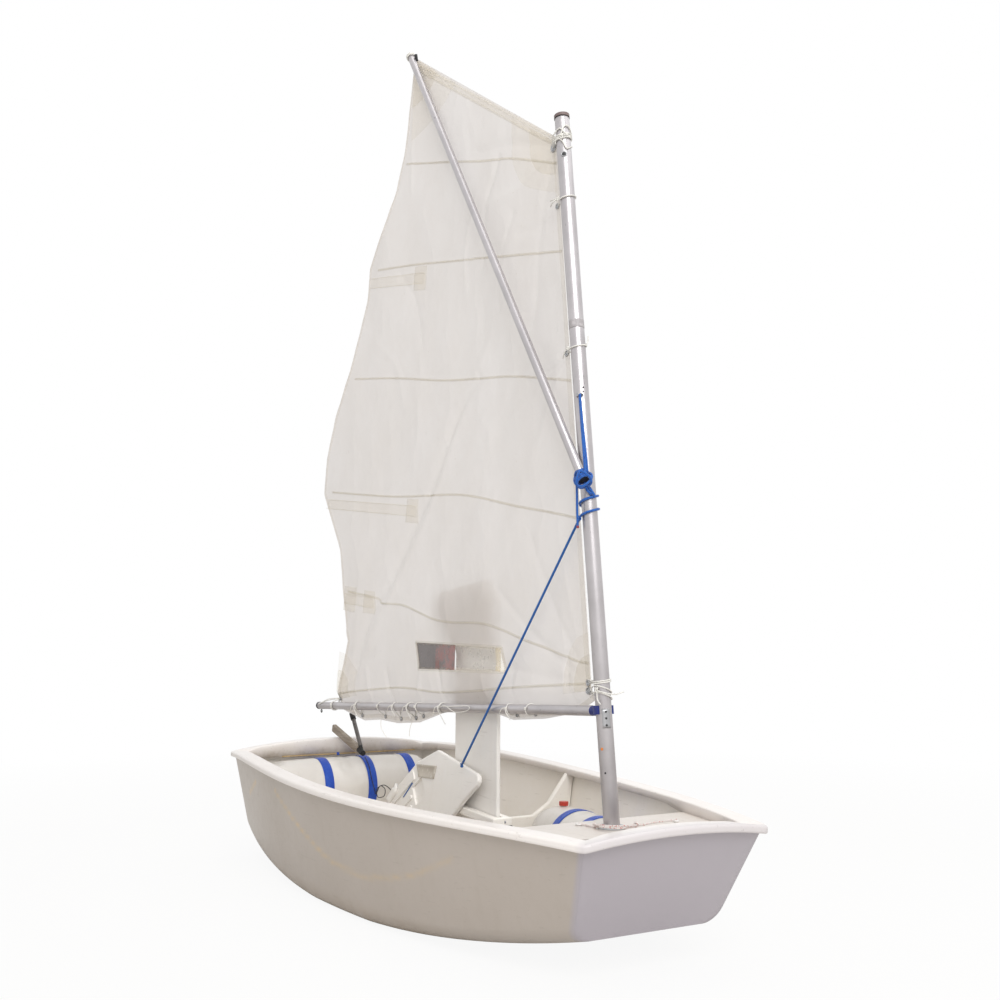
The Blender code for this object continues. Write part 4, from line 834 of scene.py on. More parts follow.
# Finishes of the rig
def metalMaterial(name, colour, roughness, coords="Object", brushed=(1, 1, 0.02)):
    material, tree, shader, place = startMaterial(name, colour, roughness, 0.75)
    streak = grain(tree, place, 90, 4, 0.6, brushed, coords)
    cloud = spread(tree, grain(tree, place, 7, 4, 0.6), 0.3, 0.7)
    dark = tuple(c * 0.86 for c in colour)
    paint = blendColours(tree, sums(tree, "MULTIPLY", cloud, 0.7), shade(*colour), shade(*dark))
    dents = spread(tree, grain(tree, place, 120, 3, 0.5, stretch=(1, 1, 0.3)), 0.70, 0.73)
    paint = stained(tree, paint, dents, 0.5, (96, 94, 96))
    tree.links.new(paint, shader.inputs["Base Color"])
    tree.links.new(spread(tree, streak, 0.3, 0.7, roughness - 0.07, roughness + 0.1),
                   shader.inputs["Roughness"])
    bumped(tree, shader, streak, 0.00012, 0.35)
    return material


def plasticMaterial(name, colour, roughness, wornTo=None):
    material, tree, shader, place = startMaterial(name, colour, roughness)
    worn = wornTo or tuple(min(255, c * 1.35 + 12) for c in colour)
    rub = spread(tree, grain(tree, place, 70, 5, 0.65), 0.52, 0.75)
    paint = blendColours(tree, sums(tree, "MULTIPLY", rub, 0.5), shade(*colour), shade(*worn))
    tree.links.new(paint, shader.inputs["Base Color"])
    tree.links.new(spread(tree, rub, 0, 1, roughness, roughness + 0.15), shader.inputs["Roughness"])
    bumped(tree, shader, grain(tree, place, 900, 2, 0.5), 0.00008, 0.5)
    return material


def ropeMaterial(name, colour, strandSize, fleck=None, fleckShare=0.0):
    # a braid drawn on the tube's own lengths: two sets of strands that cross
    material, tree, shader, place = startMaterial(name, colour, 0.82, Sheen_Weight=0.3, Sheen_Roughness=0.5)
    turn = 2 * math.pi / strandSize
    bands = []
    for way in (1, -1):
        mapped = addNode(tree, "Mapping", {"Vector": place.outputs["UV"], "Rotation": (0, 0, way * 0.75)})
        wave = addNode(tree, "TexWave", {"Vector": mapped.outputs["Vector"], "Scale": turn / 20,
                "Distortion": 0.6, "Detail": 1.0}, wave_type="BANDS", bands_direction="X")
        bands.append(wave.outputs["Fac"])
    braid = sums(tree, "MAXIMUM", bands[0], bands[1])
    # the grooves between the strands are painted darker: painted shade
    deep = tuple(c * (0.62 if sum(colour) < 500 else 0.88) for c in colour)
    paint = blendColours(tree, spread(tree, braid, 0.25, 0.85), shade(*deep), shade(*colour))
    fuzz = grain(tree, place, 500, 3, 0.6)
    paint = blendColours(tree, spread(tree, fuzz, 0.55, 0.8, 0, 0.35), paint,
                         shade(*(min(255, c + 45) for c in colour)))
    if fleck:
        spots = spread(tree, grain(tree, place, 260, 2, 0.5), 0.60 - fleckShare, 0.66 - fleckShare)
        paint = blendColours(tree, spots, paint, shade(*fleck))
    tree.links.new(paint, shader.inputs["Base Color"])
    bumped(tree, shader, braid, strandSize * 0.28, 0.9)
    return material


def clothMaterial(name, colour, dirt, clear=0.3, veil=1.0):
    # woven polyester: a fine thread grid, faint creases, light coming through; veil is how much it hides
    material, tree, shader, place = startMaterial(name, colour, 0.62, Sheen_Weight=0.12, Sheen_Roughness=0.5)
    threads = []
    for axis in ((1, 0, 0), (0, 0, 1)):
        mapped = addNode(tree, "Mapping", {"Vector": place.outputs["Object"],
                "Rotation": (0, 0, 0) if axis[0] else (0, math.pi / 2, 0)})
        wave = addNode(tree, "TexWave", {"Vector": mapped.outputs["Vector"], "Scale": 260, "Distortion": 0.4},
                       wave_type="BANDS", bands_direction="X")
        threads.append(wave.outputs["Fac"])
    weave = sums(tree, "MAXIMUM", threads[0], threads[1])
    cloud = spread(tree, grain(tree, place, 2.6, 5, 0.6), 0.35, 0.7)
    specks = spread(tree, grain(tree, place, 120, 3, 0.5), 0.70, 0.76)
    paint = blendColours(tree, sums(tree, "MULTIPLY", cloud, 0.55), shade(*colour), shade(*dirt))
    paint = stained(tree, paint, specks, 0.25, (178, 160, 132))
    # grime and painted shade, from the mark that the hull and rail carry
    foldShadeAndGrime = paintMark(tree, "grimeAndShade")
    paint = stained(tree, paint, foldShadeAndGrime, 0.6, (206, 190, 164))
    tree.links.new(paint, shader.inputs["Base Color"])
    # creases: soft facets, bent by a slow noise, with small crumples over them
    bend = addNode(tree, "TexNoise", {"Vector": place.outputs["Object"], "Scale": 3.0, "Detail": 3.0})
    bent = addNode(tree, "VectorMath", {0: bend.outputs["Color"], 1: (0.35, 0.35, 0.35)},
                   operation="MULTIPLY")
    bent = addNode(tree, "VectorMath", {0: bent.outputs["Vector"], 1: place.outputs["Object"]},
                   operation="ADD")
    leaned = addNode(tree, "Mapping", {"Vector": bent.outputs["Vector"], "Rotation": (0, 0.6, 0),
            "Scale": (3.2, 1, 1.2)})
    facets = addNode(tree, "TexVoronoi", {"Vector": leaned.outputs["Vector"],
            "Scale": 1.6}).outputs["Distance"]
    under = bumped(tree, shader, facets, 0.030, 0.42)
    crumple = grain(tree, place, 16, 6, 0.62)
    under = bumped(tree, shader, crumple, 0.006, 0.3, under)
    normal = bumped(tree, shader, weave, 0.00018, 0.35, under)
    through = addNode(tree, "BsdfTranslucent", {"Color": paint, "Normal": normal})
    mix = addNode(tree, "MixShader", {"Fac": clear})
    tree.links.new(shader.outputs[0], mix.inputs[1])
    tree.links.new(through.outputs[0], mix.inputs[2])
    seen = mix.outputs[0]
    if veil < 1:
        thin = addNode(tree, "MixShader", {"Fac": veil})
        tree.links.new(addNode(tree, "BsdfTransparent").outputs[0], thin.inputs[1])
        tree.links.new(seen, thin.inputs[2])
        seen = thin.outputs[0]
    tree.links.new(seen, tree.nodes["Material Output"].inputs["Surface"])
    return material


def webbingMaterial(name, colour, worn):
    material, tree, shader, place = startMaterial(name, colour, 0.7, Sheen_Weight=0.35, Sheen_Roughness=0.4)
    ribs = []
    for turn, scale in ((0.0, 95), (math.pi / 2, 130)):
        mapped = addNode(tree, "Mapping", {"Vector": place.outputs["UV"], "Rotation": (0, 0, turn)})
        ribs.append(addNode(tree, "TexWave", {"Vector": mapped.outputs["Vector"], "Scale": scale,
                "Distortion": 0.3}, bands_direction="X").outputs["Fac"])
    weave = sums(tree, "MULTIPLY", ribs[0], ribs[1])
    fade = spread(tree, grain(tree, place, 22, 5, 0.65), 0.45, 0.75)
    # the weave's hollows are painted darker: painted shade
    dark = tuple(c * 0.7 for c in colour)
    paint = blendColours(tree, spread(tree, weave, 0.05, 0.6), shade(*dark), shade(*colour))
    paint = stained(tree, paint, fade, 0.4, worn)
    tree.links.new(paint, shader.inputs["Base Color"])
    bumped(tree, shader, weave, 0.0005, 0.8)
    return material


anodised = metalMaterial("satinAluminium", (196, 192, 194), 0.34, "UV", (0.02, 1, 1))
steelMetal = metalMaterial("brushedSteel", (176, 176, 178), 0.3)
blackPlastic = plasticMaterial("blackPlastic", (26, 26, 28), 0.48)
navyPlastic = plasticMaterial("navyPlastic", (24, 38, 112), 0.42)
greyPlastic = plasticMaterial("greyPlastic", (176, 180, 184), 0.5)
redPlastic = plasticMaterial("redPlastic", (186, 54, 40), 0.4)
rubber = plasticMaterial("blackRubber", (30, 29, 29), 0.75)
whiteCord = ropeMaterial("whiteCord", (246, 244, 238), 0.0022)
blueRope = ropeMaterial("blueRope", (24, 104, 200), 0.0034, (12, 58, 150), 0.02)
blueLine = ropeMaterial("blueLine", (2, 96, 180), 0.0018)
blackCord = ropeMaterial("blackCord", (34, 36, 42), 0.0020)
fleckedCord = ropeMaterial("fleckedCord", (240, 232, 228), 0.0024, (196, 66, 52), 0.015)
sailcloth = clothMaterial("sailcloth", (235, 231, 229), (226, 220, 215), 0.34, 0.90)
patchCloth = clothMaterial("patchCloth", (246, 240, 226), (240, 230, 210), 0.34, 0.12)
seamCloth = clothMaterial("seamCloth", (240, 232, 212), (230, 218, 192), 0.34, 0.15)
threadYellow = plasticMaterial("seamThread", (236, 230, 214), 0.7)
strapBlue = webbingMaterial("strapBlue", (24, 86, 214), (66, 116, 216))

# The rig's own frame: back from the mast's middle, to port, up the mast
rig = {"foot": (0.9507, 0.0, 0.0992), "rake": 5.06, "swing": 1.9, "mastRadius": 0.0225, "mastLength": 2.375,
       "boomRadius": 0.015, "boomStart": 0.050, "boomEnd": 1.960, "boomUp": 0.5715,
       "boomRise": math.tan(math.radians(3)),
       "spritRadius": 0.0135, "spritFoot": (-0.033, -0.040, 1.218), "spritPeak": (0.902, -0.0153, 3.138)}
rigMatrix = (Matrix.Translation(rig["foot"]) @ Matrix.Rotation(-math.radians(rig["rake"]), 4, "Y")
             @ Matrix.Rotation(math.radians(rig["swing"]), 4, "Z"))
rigArray = np.array(rigMatrix)


def rigPoint(back, side, up):
    return rigMatrix @ Vector((-back, side, up))


def rigPoints(local):
    local = np.array(local, float)
    flat = local.reshape(-1, 3) * (-1, 1, 1)
    return (flat @ rigArray[:3, :3].T + rigArray[:3, 3]).reshape(local.shape)


def boomUp(back):
    return rig["boomUp"] + (back - rig["boomStart"]) * rig["boomRise"]


# The sail: its outline as the CAD has it, its folds and creases as the photograph shows them
sail = {"tack": (0.049, 0.6105), "clew": (1.804, 0.6795), "throat": (0.036, 2.3325), "peak": (0.884, 3.114),
        "belly": 0.030, "thick": 0.0024, "footDrop": 0.085, "footFade": 0.08, "footBlend": 0.050,
        "columns": 190, "rows": 230,
        "leech": ((0.0, 0.0), (0.066, -0.016), (0.109, -0.023), (0.180, 0.022), (0.240, 0.052),
                  (0.288, 0.108),
                  (0.317, 0.142), (0.376, 0.148), (0.449, 0.1325), (0.528, 0.099), (0.641, 0.0665),
                  (0.691, 0.071),
                  (0.805, 0.008), (0.863, -0.003), (0.980, 0.0), (1.0, 0.0)),
        "foot": ((0.0, 0.10), (0.06, 0.55), (0.15, 0.75), (0.25, 0.80), (0.33, 0.45), (0.42, 0.40),
                 (0.50, 0.55),
                 (0.60, 0.95), (0.70, 1.0), (0.78, 0.85), (0.86, 0.90), (0.94, 0.55), (1.0, 0.25))}
# folds: a run of places (back, up), its height to port, its half width
folds = [
    (((0.596, 1.73), (0.757, 1.617), (0.968, 1.398), (1.13, 1.252), (1.311, 1.079), (1.383, 1.056),
      (1.521, 0.912), (1.625, 0.78)), 0.013, 0.030),
    (((0.545, 1.80), (0.700, 1.640), (0.905, 1.400), (1.065, 1.250), (1.255, 1.075), (1.45, 0.90)),
     -0.009, 0.036),
    (((0.191, 1.885), (0.401, 1.587), (0.541, 1.419), (0.722, 1.25), (0.90, 1.06)), 0.006, 0.060),
    (((0.09, 1.62), (0.26, 1.38), (0.44, 1.16), (0.62, 0.98)), -0.004, 0.050),
    (((0.05, 0.64), (0.20, 0.86), (0.33, 1.15)), 0.004, 0.020),
    (((0.05, 0.64), (0.28, 0.78), (0.52, 0.98)), 0.005, 0.018),
    (((0.05, 0.64), (0.36, 0.70), (0.70, 0.78)), 0.004, 0.016),
    (((0.06, 0.66), (0.13, 0.90), (0.17, 1.2)), -0.003, 0.018),
    (((1.78, 0.69), (1.60, 0.80), (1.42, 0.86)), 0.006, 0.022),
    (((1.78, 0.72), (1.68, 0.90), (1.60, 1.04)), -0.005, 0.020),
    (((0.05, 2.30), (0.25, 2.42), (0.50, 2.52)), 0.005, 0.018),
    (((0.05, 2.30), (0.22, 2.26), (0.45, 2.30)), -0.004, 0.020),
    (((0.05, 2.30), (0.16, 2.05), (0.24, 1.80)), 0.004, 0.022),
    (((0.89, 3.10), (0.80, 2.90), (0.72, 2.66)), 0.005, 0.018),
    (((0.89, 3.10), (0.93, 2.85), (0.96, 2.60)), -0.004, 0.018),
    (((0.36, 2.42), (0.48, 2.28), (0.52, 2.10)), 0.006, 0.014),
    (((0.52, 2.36), (0.62, 2.22), (0.64, 2.06)), -0.005, 0.014),
    (((0.30, 2.20), (0.42, 2.06), (0.44, 1.92)), 0.004, 0.013),
    (((1.10, 2.30), (1.00, 2.16), (0.98, 1.98)), 0.005, 0.022),
    (((1.32, 2.10), (1.18, 1.96), (1.14, 1.80)), -0.004, 0.022),
    (((0.15, 0.60), (0.17, 0.66), (0.16, 0.74)), 0.006, 0.012),
    (((0.46, 0.56), (0.47, 0.63), (0.45, 0.72)), 0.006, 0.014),
    (((0.60, 0.55), (0.61, 0.63), (0.63, 0.70)), -0.005, 0.012),
    (((0.89, 0.57), (0.90, 0.64), (0.93, 0.76)), 0.007, 0.013),
    (((1.07, 0.58), (1.08, 0.66), (1.06, 0.76)), -0.006, 0.013),
    (((1.30, 0.60), (1.30, 0.68), (1.33, 0.78)), 0.007, 0.014),
    (((1.48, 0.63), (1.47, 0.70), (1.49, 0.80)), -0.006, 0.014),
    (((0.05, 2.11), (0.16, 2.09), (0.28, 2.12)), 0.004, 0.012),
    (((0.05, 1.63), (0.15, 1.61), (0.27, 1.63)), 0.004, 0.012),
    (((0.05, 1.63), (0.14, 1.54), (0.24, 1.40)), -0.003, 0.014),
]


def sailFlat(u, v):
    # back and up of a place on the sail: u from luff to leech, v from foot to head
    tack, throat, clew, peak = (np.array(sail[k]) for k in ("tack", "throat", "clew", "peak"))
    luff = tack + (throat - tack) * v[..., None]
    along = peak - clew
    reach = np.linalg.norm(along)
    out = np.array((along[1], -along[0])) / reach
    shares, outs = np.array(sail["leech"]).T
    leech = clew + along * v[..., None] + out * reach * np.interp(v, shares, outs)[..., None]
    flat = luff + (leech - luff) * u[..., None]
    shares, drops = np.array(sail["foot"]).T
    flat[..., 1] -= sail["footDrop"] * np.interp(u, shares, drops) * np.clip(1 - v / sail["footFade"], 0,
            1) ** 2
    return flat


def sailSide(u, v, flat):
    belly = sail["belly"] * np.sin(math.pi * u) * np.clip(np.sin(math.pi * v), 0, 1) ** 1.5
    over = (flat[..., 1] - boomUp(flat[..., 0]) - rig["boomRadius"]) / sail["footBlend"]
    beside = 1 - np.clip(over, 0, 1)
    beside = beside * beside * (3 - 2 * beside)
    return belly + beside * (rig["boomRadius"] + sail["thick"] / 2 + 0.0017)


def creaseHeight(flat, u, v):
    points = flat.reshape(-1, 2)
    height = np.zeros(len(points))
    for run, rise, width in folds:
        height += rise / (1 + (lineDistance(points, smoothPath(run, 18)) / width) ** 2) ** 1.5
    rough = np.array([roughly((p[0], p[1], 0), 2.3, 3) * 0.006 + roughly((p[0], p[1], 0), 7.0, 8) * 0.0028
                      + roughly((p[0] * 1.6, p[1] * 0.8, 0), 19.0, 5) * 0.0011 for p in points])
    height = (height + rough).reshape(u.shape)
    # held at the luff, and quieter at the head
    hold = np.clip(u / 0.05, 0, 1) * np.clip((1 - v) / 0.02, 0.2, 1)
    return height * hold


def clearOfSpars(flat, side):
    # the cloth stays to port of the sprit and of the boom
    foot, peak = np.array(rig["spritFoot"]), np.array(rig["spritPeak"])
    line, ends = foot[[0, 2]], peak[[0, 2]]
    along = ends - line
    t = np.clip(((flat - line) @ along) / np.dot(along, along), 0, 1)
    away = np.linalg.norm(flat - (line + t[..., None] * along), axis=-1)
    spritSide = foot[1] + t * (peak[1] - foot[1])
    least = spritSide + np.sqrt(np.clip(rig["spritRadius"] ** 2 - away ** 2, 0, None)) + 0.0009
    side = np.where(away < rig["spritRadius"] + 0.001, np.maximum(side, least), side)
    above = flat[..., 1] - boomUp(flat[..., 0])
    reach = rig["boomRadius"] + 0.0024
    nearBoom = np.sqrt(np.clip(reach ** 2 - above ** 2, 0, None))
    low = (above < reach) & (flat[..., 0] > 0.05)
    return np.where(low, np.maximum(side, np.where(above < 0, reach, nearBoom)), side)


def buildSail():
    u, v = np.meshgrid(np.linspace(0, 1, sail["columns"]), np.linspace(0, 1, sail["rows"]) ** 1.15)
    flat = sailFlat(u, v)
    side = sailSide(u, v, flat) + creaseHeight(flat, u, v)
    side = clearOfSpars(flat, side)
    local = np.stack([flat[..., 0], side, flat[..., 1]], axis=-1)
    cloth = gridPiece("sailCloth", rigPoints(local), sailcloth, "rig")
    return cloth, local


window = {"corners": ((1.082, 0.8605), (0.512, 0.7905), (0.496, 0.7125), (1.059, 0.7635)), "hem": 0.011,
          "darkEnd": 0.084, "stripStart": 0.339}


def cutWindow(cloth):
    # cuts the cloth along the window's four sides and drops what is inside
    shape = bmesh.new()
    shape.from_mesh(cloth.data)
    back = rigMatrix.inverted()
    corners = [Vector(c) for c in window["corners"]]
    middle = sum(corners, Vector((0, 0))) / 4

    def flatPlace(point):
        local = back @ point
        return Vector((-local.x, local.z))

    for a, b in zip(corners, corners[1:] + corners[:1]):
        near = [f for f in shape.faces if (flatPlace(f.calc_center_median()) - middle).length < 0.36]
        parts = list({e for f in near for e in f.edges} | {v for f in near for v in f.verts} | set(near))
        way = b - a
        normal = rigMatrix.to_3x3() @ Vector((-way.y, 0, -way.x)).normalized()
        bmesh.ops.bisect_plane(shape, geom=parts, plane_co=rigPoint(a.x, 0, a.y), plane_no=normal, dist=1e-6)
    gone = []
    for f in shape.faces:
        p = flatPlace(f.calc_center_median())
        if (p - middle).length > 0.4:
            continue
        turns = [(b - a).cross(p - a) for a, b in zip(corners, corners[1:] + corners[:1])]
        if all(t > 0 for t in turns) or all(t < 0 for t in turns):
            gone.append(f)
    bmesh.ops.delete(shape, geom=gone, context="FACES")
    shape.to_mesh(cloth.data)
    shape.free()


sailCloth, sailLocal = buildSail()
sailTree = BVHTree.FromPolygons([tuple(p) for p in sailLocal.reshape(-1, 3)],
                                [(i * sail["columns"] + j, i * sail["columns"] + j + 1,
                                  (i + 1) * sail["columns"] + j + 1, (i + 1) * sail["columns"] + j)
                                 for i in range(sail["rows"] - 1) for j in range(sail["columns"] - 1)])


def onSail(back, up, lift):
    # a place on the cloth; lift is to port, and negative to starboard
    for nudge in (0, 0.002, -0.002, 0.005, -0.005, 0.009, -0.009, 0.014, -0.014, 0.02, -0.02):
        for tryUp in (up + nudge, up):
            tryBack = back if tryUp != up else back + nudge
            hit = sailTree.ray_cast(Vector((tryBack, -0.3, tryUp)), Vector((0, 1, 0)))[0]
            if hit is not None:
                return (back, hit.y + lift, up)
    hit = sailTree.find_nearest(Vector((back, 0.0, up)))[0]
    return (back, hit.y + lift, up)


sewing = {"stripStep": 0.012, "acrossStrip": 5, "thread": 0.00035, "patchEdge": 30, "patchRows": 16}


def squareTo(line):
    # at each point of a run of places (back, up), the way square to it
    ways = np.gradient(line, axis=0)
    ways /= np.linalg.norm(ways, axis=1)[:, None]
    return np.stack([-ways[:, 1], ways[:, 0]], axis=1)


def clothStrip(name, run, width, lift, material, count=None):
    # a strip sewn on both faces of the cloth, along a run of places (back, up)
    line = smoothPath(run, count or max(3, int(runLength(run) / sewing["stripStep"])))
    outs = np.linspace(-0.5, 0.5, sewing["acrossStrip"]) * width
    rows = []
    for p, square in zip(line, squareTo(line)):
        port = [onSail(*(p + square * o), lift) for o in outs]
        rows.append(port + [onSail(*(p + square * o), -lift) for o in reversed(outs)])
    return gridPiece(name, rigPoints(rows), material, "rig", ring=True, caps=True)


def zigzag(name, run, width, pitch, lift, material):
    # a sewn thread that steps from side to side of its run
    count = int(runLength(run) / pitch) * 2
    line = smoothPath(run, count)
    offs = np.where(np.arange(count) % 2 == 0, width / 2, -width / 2)
    path = [onSail(*(p + square * o), lift) for p, square, o in zip(line, squareTo(line), offs)]
    return tubePiece(name, rigPoints(path), sewing["thread"], material, "rig", sides=3)


def clothPatch(name, corner, edge, lift, material):
    # a fan from a corner of the sail, on both faces
    edge = smoothPath(edge, sewing["patchEdge"])
    corner = np.array(corner, float)
    pieces = []
    for side in (1, -1):
        rows = []
        for t in np.linspace(0.02, 1, sewing["patchRows"]):
            rows.append([onSail(*(corner + (p - corner) * t), lift * side) for p in edge])
        pieces.append(gridPiece(f"{name}Face", rigPoints(rows), material, "rig", flip=side < 0))
    return joinPieces(name, pieces)


seams = {
    "one": ((0.991, 2.721), (0.684, 2.576), (0.459, 2.466), (0.284, 2.385), (0.040, 2.245)),
    "two": ((1.270, 2.393), (1.01, 2.31), (0.841, 2.252), (0.603, 2.165), (0.555, 2.150), (0.331, 2.065),
            (0.045, 1.957)),
    "three": ((1.520, 2.008), (1.193, 1.912), (0.852, 1.799), (0.611, 1.730), (0.364, 1.660), (0.045, 1.545)),
    "four": ((1.775, 1.575), (1.273, 1.452), (0.962, 1.390), (0.77, 1.352), (0.61, 1.307), (0.393, 1.234),
             (0.198, 1.174), (0.05, 1.126)),
    "five": ((1.640, 1.125), (1.4, 1.067), (1.358, 1.041), (1.194, 1.014), (1.081, 0.977), (0.956, 0.933),
             (0.819, 0.906), (0.628, 0.882), (0.511, 0.851), (0.376, 0.803), (0.249, 0.762), (0.131, 0.722),
             (0.055, 0.705)),
    "six": ((1.775, 0.712), (1.574, 0.712), (1.215, 0.704), (0.941, 0.672), (0.693, 0.662), (0.501, 0.661),
            (0.272, 0.655), (0.055, 0.648)),
}


def buildSailDetail():
    strips, threads = [], []
    for run in seams.values():
        strips.append(clothStrip("seam", run, 0.009, 0.0005, seamCloth))
        for side in (1, -1):
            threads.append(zigzag("thread", run, 0.006, 0.0075, 0.0012 * side, threadYellow))
    # hems round the edge
    v = np.linspace(0, 1, 120)
    leech = sailFlat(np.full(120, 0.9935), v)
    luff = sailFlat(np.full(60, 0.006), np.linspace(0.004, 0.996, 60))
    head = sailFlat(np.linspace(0.01, 0.99, 50), np.full(50, 0.989))
    foot = sailFlat(np.linspace(0.004, 0.996, 90), np.full(90, 0.004))
    strips.append(clothStrip("hem", leech, 0.014, 0.0006, patchCloth, 150))
    strips.append(clothStrip("hem", luff, 0.026, 0.0009, patchCloth, 90))
    strips.append(clothStrip("hem", head, 0.030, 0.0008, seamCloth, 60))
    strips.append(clothStrip("hem", foot, 0.014, 0.0006, seamCloth, 120))
    for run, off in ((head, 0.011), (head, -0.011)):
        moved = np.array(run) + np.array((0.4, -0.6)) * off
        threads.append(zigzag("thread", moved[::6], 0.004, 0.009, -0.0016, threadYellow))
    seamPiece = joinPieces("sailSeams", strips)
    threadPiece = joinPieces("sailStitching", threads)
    patches = []
    layers = [("peak", sail["peak"], ((0.60, 2.845), (0.74, 2.80), (0.945, 2.79))),
              ("peakSmall", sail["peak"], ((0.72, 2.955), (0.80, 2.92), (0.928, 2.92))),
              ("throat", (0.040, 2.318), ((0.266, 2.522), (0.275, 2.38), (0.22, 2.26), (0.048, 2.150))),
              ("throatSmall", (0.040, 2.318), ((0.17, 2.435), (0.175, 2.34), (0.13, 2.26), (0.046, 2.21))),
              ("tack", (0.052, 0.628), ((0.046, 0.795), (0.115, 0.775), (0.170, 0.720), (0.196, 0.625))),
              ("tackSmall", (0.052, 0.628), ((0.047, 0.730), (0.09, 0.72), (0.13, 0.68), (0.14, 0.628))),
              ("clew", (1.790, 0.690), ((1.60, 0.695), (1.61, 0.79), (1.66, 0.86), (1.735, 0.885))),
              ("clewSmall", (1.790, 0.690), ((1.67, 0.692), (1.68, 0.76), (1.71, 0.80), (1.755, 0.81)))]
    for number, (name, corner, edge) in enumerate(layers):
        lift = 0.0011 + 0.0005 * (number % 2)
        patches.append(clothPatch(name + "Patch", corner, edge, lift,
                                  patchCloth if number % 2 == 0 else seamCloth))
    patchPiece = joinPieces("cornerPatches", patches)
    return seamPiece, threadPiece, patchPiece


sailSeams, sailStitching, cornerPatches = buildSailDetail()
print("sail, seams and patches sewn")

battens = {"top": ((1.346, 2.364), (0.926, 2.226)), "middle": ((1.835, 1.536), (1.079, 1.354)),
           "bottom": ((1.672, 1.101), (1.424, 1.050))}


def buildBattens():
    pieces = []
    for name, (leechEnd, innerEnd) in battens.items():
        leechEnd, innerEnd = np.array(leechEnd), np.array(innerEnd)
        way = unit(innerEnd - leechEnd)
        square = np.array((-way[1], way[0]))
        rows = []
        for t in np.linspace(0.02, 1.0, 60):
            p = leechEnd + (innerEnd - leechEnd) * t
            outs = np.array((-0.021, -0.017, -0.010, -0.008, 0, 0.008, 0.010, 0.017, 0.021))
            rise = np.array((0.0007, 0.0008, 0.0012, 0.0026, 0.0030, 0.0026, 0.0012, 0.0008, 0.0007))
            port = [onSail(*(p + square * o), r) for o, r in zip(outs, rise)]
            low = [onSail(*(p + square * o), -0.0007) for o in reversed(outs)]
            rows.append(port + low)
        pieces.append(gridPiece("pocket", rigPoints(rows), patchCloth, "rig", ring=True, caps=True))
        # the reinforcement at its inner end
        end = innerEnd - way * 0.03
        pieces.append(clothStrip("pocketEnd", (end - square * 0.045, end + square * 0.045), 0.085, 0.0016,
                                 seamCloth, 12))
        if name == "bottom":
            near = leechEnd + way * 0.05
            pieces.append(clothStrip("leechPatch", (near - square * 0.05, near + square * 0.05), 0.11, 0.0018,
                    seamCloth, 12))
        for o in (-0.019, 0.019):
            pieces.append(zigzag("pocketThread", (leechEnd + square * o, innerEnd + square * o), 0.003, 0.007,
                                 -0.0016, threadYellow))
    pockets = joinPieces("battenPockets", pieces)
    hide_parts("batten_top", "batten_middle", "batten_bottom")
    return pockets


battenPockets = buildBattens()


def filmMaterial():
    # a painted reflection of dark surroundings towards the leech, reddish in part; hazy towards the luff
    material, tree, shader, place = startMaterial("clearFilm", (112, 100, 94), 0.12, Alpha=0.5)
    split = addNode(tree, "SeparateXYZ", {"Vector": place.outputs["Object"]})
    alongX = split.outputs["X"]
    # the painted reflection: dark aft of darkEnd, reddish and mottled in part
    dark = spread(tree, alongX, window["darkEnd"] - 0.004, window["darkEnd"], 1.0, 0.0)
    reddish = spread(tree, alongX, window["darkEnd"] - 0.150, window["darkEnd"] - 0.142)
    mottle = spread(tree, grain(tree, place, 22, 4, 0.6), 0.4, 0.62)
    deep = blendColours(tree, sums(tree, "MULTIPLY", reddish, mottle), shade(74, 58, 54), shade(132, 62, 52))
    strip = spread(tree, alongX, window["stripStart"], window["stripStart"] + 0.003)
    light = blendColours(tree, strip, shade(216, 211, 205), shade(236, 216, 168))
    tree.links.new(blendColours(tree, dark, light, deep), shader.inputs["Base Color"])
    tree.links.new(sums(tree, "ADD", sums(tree, "MULTIPLY", dark, 0.55), 0.36), shader.inputs["Alpha"])
    haze = spread(tree, grain(tree, place, 24, 5, 0.6), 0.35, 0.7, 0.10, 0.34)
    tree.links.new(haze, shader.inputs["Roughness"])
    bumped(tree, shader, grain(tree, place, 18, 4, 0.55), 0.0012, 0.5)
    return material


def buildWindow():
    corners = np.array(window["corners"])
    middle = corners.mean(axis=0)
    wide = corners + (corners - middle) / np.linalg.norm(corners - middle, axis=1)[:, None] * window["hem"]
    rows = []
    for t in np.linspace(0, 1, 40):
        top, low = wide[0] + (wide[1] - wide[0]) * t, wide[3] + (wide[2] - wide[3]) * t
        rows.append([onSail(*(top + (low - top) * s), 0.0012) for s in np.linspace(0, 1, 10)])
    pane = gridPiece("windowPane", rigPoints(rows), filmMaterial(), "rig")
    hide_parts("sail_window")
    frameStrips = []
    loopPoints = corners + (corners - middle) / np.linalg.norm(corners - middle, axis=1)[:, None] * 0.007
    for a, b in zip(loopPoints, np.roll(loopPoints, -1, axis=0)):
        frameStrips.append(clothStrip("windowTape", (a, b), 0.013, 0.0015, seamCloth))
    return pane, joinPieces("windowTape", frameStrips)


windowPane, windowTape = buildWindow()
cutWindow(sailCloth)
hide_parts("sail")


# Spars as true tubes, over the frame's faceted ones
def sparPiece(name, node, start, end, radius, material):
    start, end = rigPoint(*start), rigPoint(*end)
    piece = turnedPiece(name, roundedProfile(radius, (end - start).length, 0.0012), axisMatrix(start, end),
                        material, "rig", 56)
    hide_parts(node)
    return piece


def spritPlace(share):
    foot, peak = np.array(rig["spritFoot"]), np.array(rig["spritPeak"])
    return foot + (peak - foot) * share


def spritAxis():
    # the sprit's foot, and the way up it
    foot, peak = np.array(rig["spritFoot"]), np.array(rig["spritPeak"])
    return foot, unit(peak - foot)


